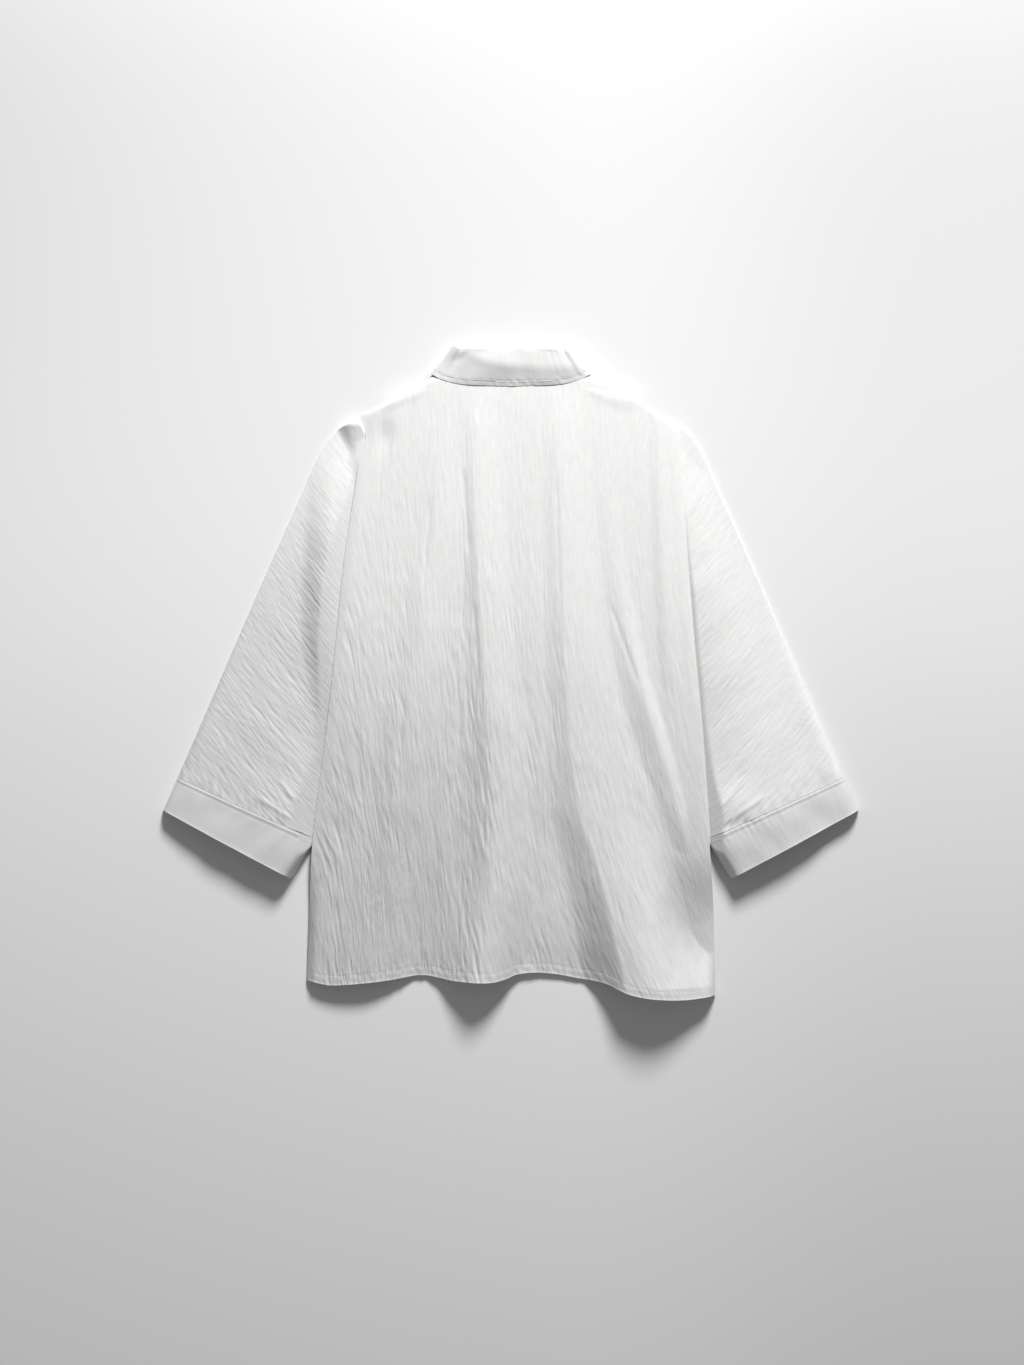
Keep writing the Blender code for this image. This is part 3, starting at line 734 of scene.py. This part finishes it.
def button_material():
    material, nodes, links, shader = new_material("button_shell", (0.80, 0.79, 0.76), 0.28)
    shader.inputs["Coat Weight"].default_value = 0.35
    coordinate = nodes.new("ShaderNodeTexCoord")
    cloud = noise_node(nodes, links, coordinate.outputs["Object"], 420.0, 3.0)
    ramp = nodes.new("ShaderNodeValToRGB")
    ramp.color_ramp.elements[0].color = (0.72, 0.71, 0.67, 1.0)
    ramp.color_ramp.elements[1].color = (0.86, 0.85, 0.83, 1.0)
    links.new(cloud, ramp.inputs["Fac"])
    links.new(ramp.outputs["Color"], shader.inputs["Base Color"])
    return material


WHITE = (0.824, 0.822, 0.817)
CLOTH = cloth_material("crinkled_cloth", WHITE, 0.935, 0.00090)
TRIM = cloth_material("interfaced_cloth", WHITE, 0.975, 0.00010)
THREAD = thread_material()
SHELL = button_material()


# ---- the back ----
def make_back():
    """The panel from the neck to the turned, topstitched hem, and the hem's stitches."""
    across = eased(379, BACK_ACROSS, EDGE_ROLL, 7)
    turn = np.linspace(0, math.pi / 2, 7)[:-1]
    near_neck = EDGE_ROLL / BACK_LENGTH * (1 - np.cos(turn))
    near_hem = np.linspace(1 - 0.020 / BACK_LENGTH, 1.0, 19)
    middle = np.linspace(EDGE_ROLL / BACK_LENGTH, near_hem[0], 208)
    down = np.concatenate([near_neck, middle, near_hem[1:]])
    top_x = SHOULDER_LINE[0].x + (SHOULDER_LINE[-1].x - SHOULDER_LINE[0].x) * across
    hem_x = HEM[0].x + (HEM[-1].x - HEM[0].x) * across
    dip = BACK_NECK_DIP * np.clip(1 - (top_x / NECK_HALF) ** 2, 0, 1)
    top_y = shoulder_y(top_x) - dip
    bottom_y = hem_y(hem_x)
    y = top_y + (bottom_y - top_y) * down[:, None]
    left = left_side(y)
    x = left + (right_side(y) - left) * across
    z = back_surface(x, y)
    from_hem = y - bottom_y
    s, t = back_grain(x, y)
    band = smooth_step(from_hem, HEM_DEPTH + 0.0012, HEM_DEPTH - 0.0006)
    groove = np.exp(-(((from_hem - HEM_DEPTH) / 0.0011) ** 2))
    pucker = noise((x + 0.6 * from_hem) / 0.0052, from_hem / 0.012, 61)
    curl = smooth_step(from_hem, 0.0020, 0.0)
    z = z + 0.0002 * band - 0.00040 * groove + 0.00035 * curl
    z = z + (0.00030 - 0.00016 * smooth_step(x, 0.03, 0.12)) * pucker * smooth_step(from_hem, 0.022, 0.006)
    outer = np.stack([x, y, z], axis=-1)
    wall = BACK_WALL + HEM_EXTRA * band
    # The third grain value deepens the crinkle's bump and darkens the colour with painted shade.
    piece = shell("back_cloth", outer, wall, CLOTH, np.stack([s, t, back_creasing_and_painted_shade(x, y)], axis=-1), coarse=3)
    normals = grid_normals(outer, False)
    row = [int(np.argmin(np.abs(from_hem[:, c] - HEM_DEPTH))) for c in range(len(across))]
    columns = range(3, len(across) - 3)
    line = [outer[row[c], c] + 0.00022 * normals[row[c], c] for c in columns]
    lift = [normals[row[c], c] for c in columns]
    return piece, line, lift


# ---- the fronts ----
def make_front(name, side):
    """Half of the front, lying on the surface, with its neck cut out and its buttoned strip raised."""
    columns, rows = odd(84), odd(210)
    reach = right_side if side > 0 else (lambda y: -left_side(y))
    shoulder_end = SHOULDER_LINE[-1].x if side > 0 else -SHOULDER_LINE[0].x
    few = (-OVERLAP, 0.0, *PLACKET_HALF, 0.060, 0.073, NECK_HALF)
    neck = [(x, NECK_Y - FRONT_NECK_DROP * math.sqrt(1 - (x / NECK_HALF) ** 2)) for x in few]
    shoulder = [
        (x, float(shoulder_y(side * x)) - 0.0006)
        for x in np.linspace(NECK_HALF + 0.008, shoulder_end - 0.0006, 5)
    ]
    top = np.array(neck + shoulder)
    even = np.linspace(PLACKET_HALF[1], float(reach(-0.36)) - 0.0006, len(top) - 3)
    bottom_x = np.array([-OVERLAP, 0.0, PLACKET_HALF[0], *even])
    bottom = np.stack([bottom_x, front_hem_y(side * bottom_x)], axis=1)
    finer = np.linspace(0, len(top) - 1, columns)
    top, bottom = (
        np.stack([np.interp(finer, range(len(line)), line[:, i]) for i in range(2)], axis=1)
        for line in (top, bottom)
    )
    v = np.linspace(0, 1, rows)
    inner = top[0] + (bottom[0] - top[0]) * v[:, None]
    edge_y = np.linspace(top[-1, 1], bottom[-1, 1], rows)
    outer = np.stack([reach(edge_y) - 0.0006, edge_y], axis=1)
    outer[0], outer[-1] = top[-1], bottom[-1]
    plan = patch(top, bottom, inner, outer)
    x, y = plan[..., 0] * side, plan[..., 1]
    inset = np.minimum(side * x + OVERLAP, reach(y) - side * x)
    relief = crinkle(x, y, 40 if side > 0 else 50)
    from_hem = y - front_hem_y(x)
    band = smooth_step(from_hem, HEM_DEPTH + 0.001, HEM_DEPTH)
    band = np.maximum(band, smooth_step(inset, 0.0245, 0.0235))
    z = front_lift(x, y) + 0.0003 + 0.3 * np.maximum(relief + 0.0003, 0.0)
    z = z - 0.00025 * band * (side * x < 0.03)
    if side < 0:
        z = z + OVERLAP_STEP * smooth_step(x, -PLACKET_HALF[1], -PLACKET_HALF[0])
    z = np.maximum(z, LOWEST)
    grid = np.stack([x, y, z], axis=-1)
    grain = np.stack([x, y, 0 * x], axis=-1)
    down = np.broadcast_to(np.array([0.0, 0.0, -1.0]), grid.shape)
    if side > 0:
        grid, grain = grid[:, ::-1], grain[:, ::-1]
    return shell(name, grid, PANEL_WALL, CLOTH, grain, coarse=3, normals=down)


# ---- the sleeves and cuffs ----
def sleeve_plan(v, across):
    """A point of the flat sleeve, for +X: v runs from armhole to cuff, across from the outer edge in."""
    x0, y0 = outer_x(v), outer_y(v)
    x1 = UNDERARM[0] + (CUFF_SEAM_INNER[0] - UNDERARM[0]) * v
    y1 = UNDERARM[1] + (CUFF_SEAM_INNER[1] - UNDERARM[1]) * v
    return x0 + (x1 - x0) * across, y0 + (y1 - y0) * across


def cuff_plan(down, across):
    """A point of the flat cuff, for +X, carrying on square from the sleeve's last row."""
    x0, y0 = sleeve_plan(1.0, 0.0)
    x1, y1 = sleeve_plan(1.0, 1.0)
    length = math.hypot(x1 - x0, y1 - y0)
    square = np.array([-(y1 - y0), x1 - x0]) / length
    square = square if square[1] < 0 else -square
    x = x0 + (x1 - x0) * across + (square[0] * CUFF_DEPTH + CUFF_SLANT[0] * across) * down
    y = y0 + (y1 - y0) * across + (square[1] * CUFF_DEPTH + CUFF_SLANT[1] * across) * down
    return x, y


def outside_back(side, x, y):
    return x - right_side(y) if side > 0 else left_side(y) - x


LEFT_SLEEVE_DENTS = (Dent(-0.225, 0.150, 0.014, 0.090, 0.0010),)
RIGHT_SLEEVE_DENTS = (
    Dent(0.262, -0.150, 0.030, 0.022, 0.0020),
    Dent(0.246, -0.176, 0.030, 0.012, -0.0016),
)

# How far outside the back's edge the left sleeve's flat top ends, by y.
PLATEAU_EDGE = smooth_through((-0.060, -0.030, 0.060, 0.150, 0.250), (-0.002, 0.006, 0.027, 0.033, 0.042))


def sleeve_grain(side, x, y):
    """Across and along the sleeve's crinkle: it runs down and in towards the body, steeper near the body."""
    flip = -side
    ahead = (flip * math.sin(SLEEVE_GRAIN_TILT), -math.cos(SLEEVE_GRAIN_TILT))
    s = y * ahead[0] - x * ahead[1]
    t = x * ahead[0] + y * ahead[1]
    bend = 0.35 * np.maximum(side * x - 0.22, 0.0) * np.maximum(0.12 - y, 0.0)
    return s + flip * bend, t


def tube(side, plan, rows, width, fold_radius, top_of, columns):
    """Rings round a flattened tube: flat underside, folded edges, and the upper side top_of gives."""
    edge = fold_radius / width
    few, many, turned = 40, columns, 6
    turn = np.linspace(0, math.pi / 2, turned + 1)[1:]
    near = edge * (1 - np.cos(turn))
    under = np.linspace(edge, 1 - edge, few)[1:-1]
    over = np.linspace(edge, 1 - edge, many)[1:-1]
    across = np.concatenate([[0], near, under, 1 - near[::-1], [1], 1 - near, over[::-1], near[::-1]])
    bend = np.concatenate([[0], -np.sin(turn), 0 * under - 1, -np.sin(turn[::-1]), [0], np.sin(turn),
                           0 * over + 1, np.sin(turn[::-1])])
    x, y = plan(np.asarray(rows)[:, None], across)
    x = x * side
    outside = outside_back(side, x, y)
    floor = 0.0014 * smooth_step(outside, 0.040, 0.020)
    middle = floor + fold_radius
    top = top_of(x, y, np.asarray(rows)[:, None], across, outside)
    z = np.where(bend >= 0, middle + (np.maximum(top, middle + fold_radius * 0.6) - middle) * bend,
                 middle + fold_radius * bend)
    grid = np.stack([x, y, z], axis=-1)
    return (grid[:, ::-1] if side < 0 else grid), (across[::-1] if side < 0 else across)


def plateau(side, across):
    """0 at both folds of a flat tube, rising fast between them to 1, or to less towards the outer one."""
    lower = (0.55 if side > 0 else 0.40) * smooth_step(across, 0.62, 0.0)
    return (1.0 - np.abs(2.0 * across - 1.0) ** 20) * (1.06 - lower)


def make_sleeve(name, side):
    seed = 70 if side > 0 else 80
    table = RIGHT_SLEEVE_DENTS if side > 0 else LEFT_SLEEVE_DENTS
    fold_radius = 0.0016

    def top_of(x, y, v, across, outside):
        s, t = sleeve_grain(side, x, y)
        flat_top = smooth_step(v, 0.35, 1.0)
        inside = np.sin(math.pi * across) ** 1.3 * (1 - flat_top) + plateau(side, across) * flat_top
        puff = sleeve_puff(v + 0 * across) * inside
        relief = crinkle(1.25 * s, 1.25 * t, seed) * (0.40 + 0.60 * inside) * (0.50 if side > 0 else 0.75)
        lumps = 0.0007 * noise(s / 0.030, t / 0.090, seed + 9) * inside
        seam = smooth_step(v, 0.90, 1.0) * 0.0007 * noise(x / 0.007, y / 0.02, seed + 8)
        top = 2 * fold_radius + puff + relief + lumps + seam + dents(table, x, y)
        top = top + drag_lines(SLEEVE_DRAGS, side * x, y) * smooth_step(v, 0.995, 0.93)
        if side < 0:
            brink = PLATEAU_EDGE(y)
            flank = smooth_step(outside, 0.000, 0.008) * smooth_step(outside, brink + 0.018, brink - 0.014)
            top = top + 0.0075 * flank * smooth_step(y, 0.290, 0.150) * smooth_step(y, -0.12, -0.03)
            foot = 0.281 - 1.95 * np.clip(x + 0.201, 0.0, 0.024)
            facet = np.clip((y - foot) / np.maximum(0.2825 - foot, 0.0015), 0.0, 1.0)
            facet = facet**1.5 * smooth_step(x, -0.205, -0.182) * smooth_step(y, 0.2925, 0.286)
            top = top + 0.0085 * facet
            beside = smooth_step(outside, 0.016, 0.001) * smooth_step(y, 0.215, 0.245)
            top = top + np.maximum(0.0088 - top, 0.0) * beside
        limit = SLEEVE_TOP_UNDER_BACK + (0.9 if side > 0 else 0.55) * np.maximum(outside - 0.0010, 0)
        if side < 0:
            limit = limit + 0.0016 * smooth_step(y, 0.225, 0.250) * smooth_step(outside, -0.0004, 0.0016)
            limit = limit + 0.0022 * smooth_step(y, 0.262, 0.280) * smooth_step(outside, -0.001, 0.001)
        return np.where(top < limit - 0.002, top, soft_minimum(top, limit))

    rows = np.linspace(0, 1, 231)
    grid, _ = tube(side, sleeve_plan, rows, 0.20, fold_radius, top_of, 190)
    s, t = sleeve_grain(side, grid[..., 0], grid[..., 1])
    # Painted shade: the left sleeve's colour is darkened much more than the right's, and more again in a band
    # beside the back's edge where shade falls; the same value deepens the crinkle's bump.
    creasing_and_painted_shade = (0.70 if side < 0 else 0.15) * smooth_step(grid[..., 1], 0.26, 0.02)
    if side < 0:
        outside = outside_back(side, grid[..., 0], grid[..., 1])
        beside = np.exp(-(((outside - PLATEAU_EDGE(grid[..., 1])) / 0.016) ** 2))
        y = grid[..., 1]
        creasing_and_painted_shade = creasing_and_painted_shade + 0.6 * beside * smooth_step(y, 0.24, 0.06) * smooth_step(y, -0.14, -0.06)
    return shell(name, grid, SLEEVE_WALL, CLOTH, np.stack([s, t, creasing_and_painted_shade], axis=-1), ring=True)


def make_cuff(name, side):
    """The band, its seam with the sleeve puckered by its two rows of stitches."""
    seed = 90 if side > 0 else 95
    fold_radius = 0.0019

    def top_of(x, y, down, across, outside):
        puff = sleeve_puff(1.0 + 0.25 * down + 0 * across) * plateau(side, across)
        pull = noise(across * 30, down * 1.5, seed) * smooth_step(down, 0.45, 0.0)
        seam = 0.0004 * np.exp(-(((down - 0.06) / 0.03) ** 2))
        groove = -0.00022 * np.exp(-(((down - 0.13) / 0.022) ** 2))
        soft = 0.0012 * noise(across * 6, down * 1.2, seed + 1)
        soft = soft + 0.00012 * noise(across * 46, down * 1.8, seed + 2)
        top = 2 * fold_radius + puff + 0.0004 * pull + seam + groove + soft
        limit = SLEEVE_TOP_UNDER_BACK + 1.1 * np.maximum(outside - 0.0008, 0)
        return np.where(top < limit - 0.002, top, soft_minimum(top, limit))

    ends = [0.975, 0.99, 0.998, 1.0]
    rows = np.concatenate([np.linspace(0.006, 0.30, 21), np.linspace(0.30, 0.955, 26)[1:], ends])
    rows = rows[: len(rows) - 1 + len(rows) % 2]
    grid, across = tube(side, cuff_plan, rows, 0.18, fold_radius, top_of, 150)
    drop = (0.0009 * smooth_step(rows, 0.985, 1.0) - 0.0006 * smooth_step(rows, 0.945, 0.985))[:, None]
    grid[..., 2] -= np.where(grid[..., 2] > 0.006, drop, 0.0)
    s, t = np.broadcast_arrays(across * 0.18, CUFF_DEPTH * rows[:, None])
    cuff_painted_shade = 0.8 if side > 0 else 0.6  # painted shade: each band's colour is darkened by this share of the painted crease shade, the right band more than the left, standing in for shade; it also deepens the bump
    grain = np.stack([s, t, 0 * s + cuff_painted_shade], axis=-1)
    piece = shell(name, grid, CUFF_WALL, TRIM, grain, ring=True)
    normals = grid_normals(grid, True)
    lines = []
    for down in CUFF_STITCH_ROWS:
        row = int(np.argmin(np.abs(rows - down)))
        over = [c for c in range(grid.shape[1]) if grid[row, c, 2] > 0.0062 and normals[row, c, 2] > 0.5]
        lines.append(([grid[row, c] for c in over], [normals[row, c] for c in over]))
    return piece, lines


# ---- the collar ----
def collar_reader(field, axis=None):
    turns = [row.turn for row in COLLAR]
    values = [getattr(row, field) if axis is None else getattr(row, field)[axis] for row in COLLAR]
    return smooth_through(turns, values)


SEAM_AT, ROLL_AT, EDGE_AT = (
    [collar_reader(field, axis) for axis in range(3)] for field in ("seam", "roll", "edge")
)
FACING_AT = collar_reader("facing")
BEND_PLACE = along(COLLAR_BENDS, "turn", "place")
BEND_HEIGHT = along(COLLAR_BENDS, "turn", "height")


def collar_section(turn):
    """Points from the neck seam up the stand, round the roll and down the fall."""
    side = -1.0 if turn < 0 else 1.0
    mirror = np.array([side, 1.0, 1.0])
    seam, roll, edge = (
        np.array([float(at(abs(turn))) for at in axes]) * mirror for axes in (SEAM_AT, ROLL_AT, EDGE_AT)
    )
    facing = math.radians(float(FACING_AT(abs(turn))))
    outward = np.array([side * math.sin(facing), 0.0, math.cos(facing)])
    place, height = float(BEND_PLACE(turn)), float(BEND_HEIGHT(turn))
    if turn < 0:
        roll = roll + math.exp(-(((turn + 0.455) / 0.040) ** 2)) * np.array([0.0010, 0.0055, 0.0012])
    else:
        roll = roll + math.exp(-(((turn - 0.460) / 0.065) ** 2)) * np.array([0.0036, -0.0004, 0.0])
    radius = min(COLLAR_ROLL_RADIUS, 0.5 * abs(float((roll - edge) @ outward)) + 0.0018)
    away = unit(roll - 0.5 * (seam + edge))
    inside, outside = roll - radius * outward, roll + radius * outward
    points = [seam + (inside - seam) * t for t in np.linspace(0, 0.92, STAND_POINTS)]
    turns = np.linspace(0, math.pi, ROLL_POINTS)
    points += [roll + radius * (math.sin(a) * away - math.cos(a) * outward) for a in turns]
    for t in np.linspace(0, 1, 36)[1:]:
        bend = float(soft_minimum(t / place, (1 - t) / (1 - place), 0.45)) / 0.8875
        points.append(outside + (edge - outside) * t + height * bend * outward)
    return np.array(points)


def make_collar():
    """The strip rolled over into stand and fall, its outer edge topstitched and puckered."""
    spans = ((0, 0.36, 46), (0.36, 0.62, 66), (0.62, 1.0, 34))
    half = np.concatenate([[0.0], *(np.linspace(*span)[1:] for span in spans)])
    turns = np.concatenate([-half[:0:-1], half])
    middle = np.stack([collar_section(turn) for turn in turns], axis=1)
    normals = grid_normals(middle, False)
    edge_line = middle[-1]
    walked = np.concatenate([[0], np.cumsum(np.linalg.norm(np.diff(edge_line, axis=0), axis=1))])
    from_edge = np.linalg.norm(middle - edge_line[None], axis=2)
    fall = np.arange(middle.shape[0])[:, None] >= FALL_FROM
    s, t = walked[None] + 0 * from_edge, from_edge
    pucker = noise((s + 0.5 * t) / 0.0050, t / 0.010, 31) * smooth_step(t, 0.012, 0.004) * fall
    groove = np.exp(-(((t - COLLAR_STITCH_IN) / 0.0010) ** 2)) * fall
    soft = noise(s / 0.030, t / 0.030, 33)
    creases = noise(s / 0.0055, t / 0.040, 34) * smooth_step(t, 0.004, 0.016)
    upper = smooth_step(np.abs(turns), 0.52, 0.46)[None]
    lift = 0.00035 * pucker - 0.00030 * groove + (0.0006 * soft + 0.00016 * creases) * fall
    lift = lift * (0.25 + 0.75 * upper)
    wall = COLLAR_WALL - 0.0004 * smooth_step(t, 0.006, 0.0) * fall
    outer = middle + (0.5 * wall + lift)[..., None] * normals
    outer[..., 2] = np.maximum(outer[..., 2], LOWEST)
    piece = shell("collar_cloth", outer, wall, TRIM, np.stack([s, t, 0 * s], axis=-1))
    line, lift_along = [], []
    for column in range(2, len(turns) - 2):
        row = FALL_FROM + int(np.argmin(np.abs(from_edge[FALL_FROM:, column] - COLLAR_STITCH_IN)))
        line.append(outer[row, column] + 0.00020 * normals[row, column])
        lift_along.append(normals[row, column])
    return piece, line, lift_along


# ---- the buttons ----
def make_button(name, low, high):
    """A button where its CAD disc is: rounded rim, dished middle, four small hollows for its holes."""
    centre = 0.5 * (np.array(low) + np.array(high))
    radius, thick = 0.5 * (high[0] - low[0]), high[2] - low[2]
    rings = ((0.00, 0.16), (0.30, 0.16), (0.58, 0.16), (0.66, 0.10), (0.74, 0.02), (0.84, 0.0), (0.94, 0.05),
             (1.00, 0.30), (1.00, 0.70), (0.94, 0.93), (0.84, 1.0), (0.50, 1.0), (0.0, 1.0))
    sides = 48
    vertices, faces = [], []
    for share, level in rings:
        for k in range(sides):
            a = 2 * math.pi * k / sides
            x, y = share * math.cos(a), share * math.sin(a)
            hole = 0.0
            for h in range(4):
                b = math.pi / 4 + h * math.pi / 2
                gap = math.hypot(x - 0.30 * math.cos(b), y - 0.30 * math.sin(b))
                hole = max(hole, 1.0 - smooth_step(gap, 0.06, 0.13))
            depth = level + (0.5 * hole if level < 0.5 else 0.0)
            vertices.append((centre[0] + radius * x, centre[1] + radius * y, low[2] + thick * depth))
    for ring in range(len(rings) - 1):
        for k in range(sides):
            j = (k + 1) % sides
            faces.append((ring * sides + k, (ring + 1) * sides + k, (ring + 1) * sides + j, ring * sides + j))
    return add_piece(name, vertices, faces, SHELL)


# ---- build ----
def declare(piece, node):
    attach(piece, "root")
    if node is not None:
        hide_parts(node)
    return piece


def thread_piece(name, lines):
    made = ([], [])
    for points, normals in lines:
        stitches(points, normals, made)
    return declare(add_piece(name, made[0], made[1], THREAD), None)


back, hem_line, hem_lift = make_back()
declare(back, "back")
hem_thread = thread_piece("hem_stitches", [(hem_line, hem_lift)])

for label, side in (("left", -1), ("right", 1)):
    front = declare(make_front(f"front_{label}_cloth", side), f"front_{label}")
    sleeve = declare(make_sleeve(f"sleeve_{label}_cloth", side), f"sleeve_{label}")
    cuff, cuff_lines = make_cuff(f"cuff_{label}_cloth", side)
    declare(cuff, f"cuff_{label}")
    cuff_thread = thread_piece(f"cuff_{label}_stitches", cuff_lines)

collar, collar_line, collar_lift = make_collar()
declare(collar, "collar")
collar_thread = thread_piece("collar_stitches", [(collar_line, collar_lift)])

for number in range(1, 7):
    node = f"button_{number}"
    low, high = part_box(node)
    declare(make_button(node + "_shell", low, high), node)


# ---- floor, light and camera ----
def ramp_node(nodes, links, value, start, end, low, high):
    """low where value is at start and high where it is at end, easing in between."""
    node = nodes.new("ShaderNodeMapRange")
    node.interpolation_type = "SMOOTHSTEP"
    for name, number in (("From Min", start), ("From Max", end), ("To Min", low), ("To Max", high)):
        node.inputs[name].default_value = number
    links.new(value, node.inputs["Value"])
    return node.outputs["Result"]


def floor_material():
    """A pale surface, painted greyer beyond the collar and to the right to offset the lamp's nearness."""
    material, nodes, links, shader = new_material("pale_floor", (0.80, 0.80, 0.80), 0.85)
    shader.inputs["Specular IOR Level"].default_value = 0.1
    place = nodes.new("ShaderNodeTexCoord")
    parts = nodes.new("ShaderNodeSeparateXYZ")
    links.new(place.outputs["Object"], parts.inputs["Vector"])
    beyond = ramp_node(nodes, links, parts.outputs["Y"], 0.0, 0.75, 0.0, 0.235)
    right = ramp_node(nodes, links, parts.outputs["X"], 0.05, 0.50, 0.872, 0.780)
    grey = math_node(nodes, links, "SUBTRACT", right, beyond)
    colour = nodes.new("ShaderNodeCombineColor")
    for channel in ("Red", "Green", "Blue"):
        links.new(grey.outputs[0], colour.inputs[channel])
    links.new(colour.outputs["Color"], shader.inputs["Base Color"])
    return material


FLOOR_HALF = 4.0
floor_mesh = bpy.data.meshes.new("floor")
corners = [(FLOOR_HALF * x, FLOOR_HALF * y, 0) for x, y in ((-1, -1), (1, -1), (1, 1), (-1, 1))]
floor_mesh.from_pydata(corners, [], [(0, 1, 2, 3)])
floor_mesh.materials.append(floor_material())
floor = bpy.data.objects.new("floor", floor_mesh)
bpy.context.scene.collection.objects.link(floor)

LIGHT_TURN = math.radians(13)  # from +Y towards +X
LIGHT_RISE = math.radians(32)
LIGHT_FAR = 2.9
lamp_data = bpy.data.lights.new("key", "AREA")
lamp_data.shape = "DISK"
lamp_data.size = 0.85
lamp_data.energy = 120.0
lamp = bpy.data.objects.new("key", lamp_data)
lamp.location = (
    LIGHT_FAR * math.cos(LIGHT_RISE) * math.sin(LIGHT_TURN),
    LIGHT_FAR * math.cos(LIGHT_RISE) * math.cos(LIGHT_TURN),
    LIGHT_FAR * math.sin(LIGHT_RISE),
)
lamp.rotation_euler = (-lamp.location).to_track_quat("-Z", "Y").to_euler()
bpy.context.scene.collection.objects.link(lamp)

world = bpy.data.worlds.new("studio")
world.use_nodes = True
world.node_tree.nodes["Background"].inputs["Color"].default_value = (1.0, 1.0, 1.0, 1.0)
world.node_tree.nodes["Background"].inputs["Strength"].default_value = 0.18
bpy.context.scene.world = world

CAMERA_HIGH = 2.6
SENSOR = 36.0
FRAME_TALL = 1.5698  # of the surface that the picture takes in, top to bottom
camera_data = bpy.data.cameras.new("camera")
camera_data.sensor_fit = "VERTICAL"
camera_data.sensor_height = SENSOR
camera_data.lens = SENSOR * CAMERA_HIGH / FRAME_TALL
camera = bpy.data.objects.new("camera", camera_data)
camera.location = (0.0012, -0.0116, CAMERA_HIGH)
bpy.context.scene.collection.objects.link(camera)
bpy.context.scene.camera = camera
bpy.context.scene.view_settings.view_transform = "Standard"
bpy.context.scene.view_settings.look = "None"
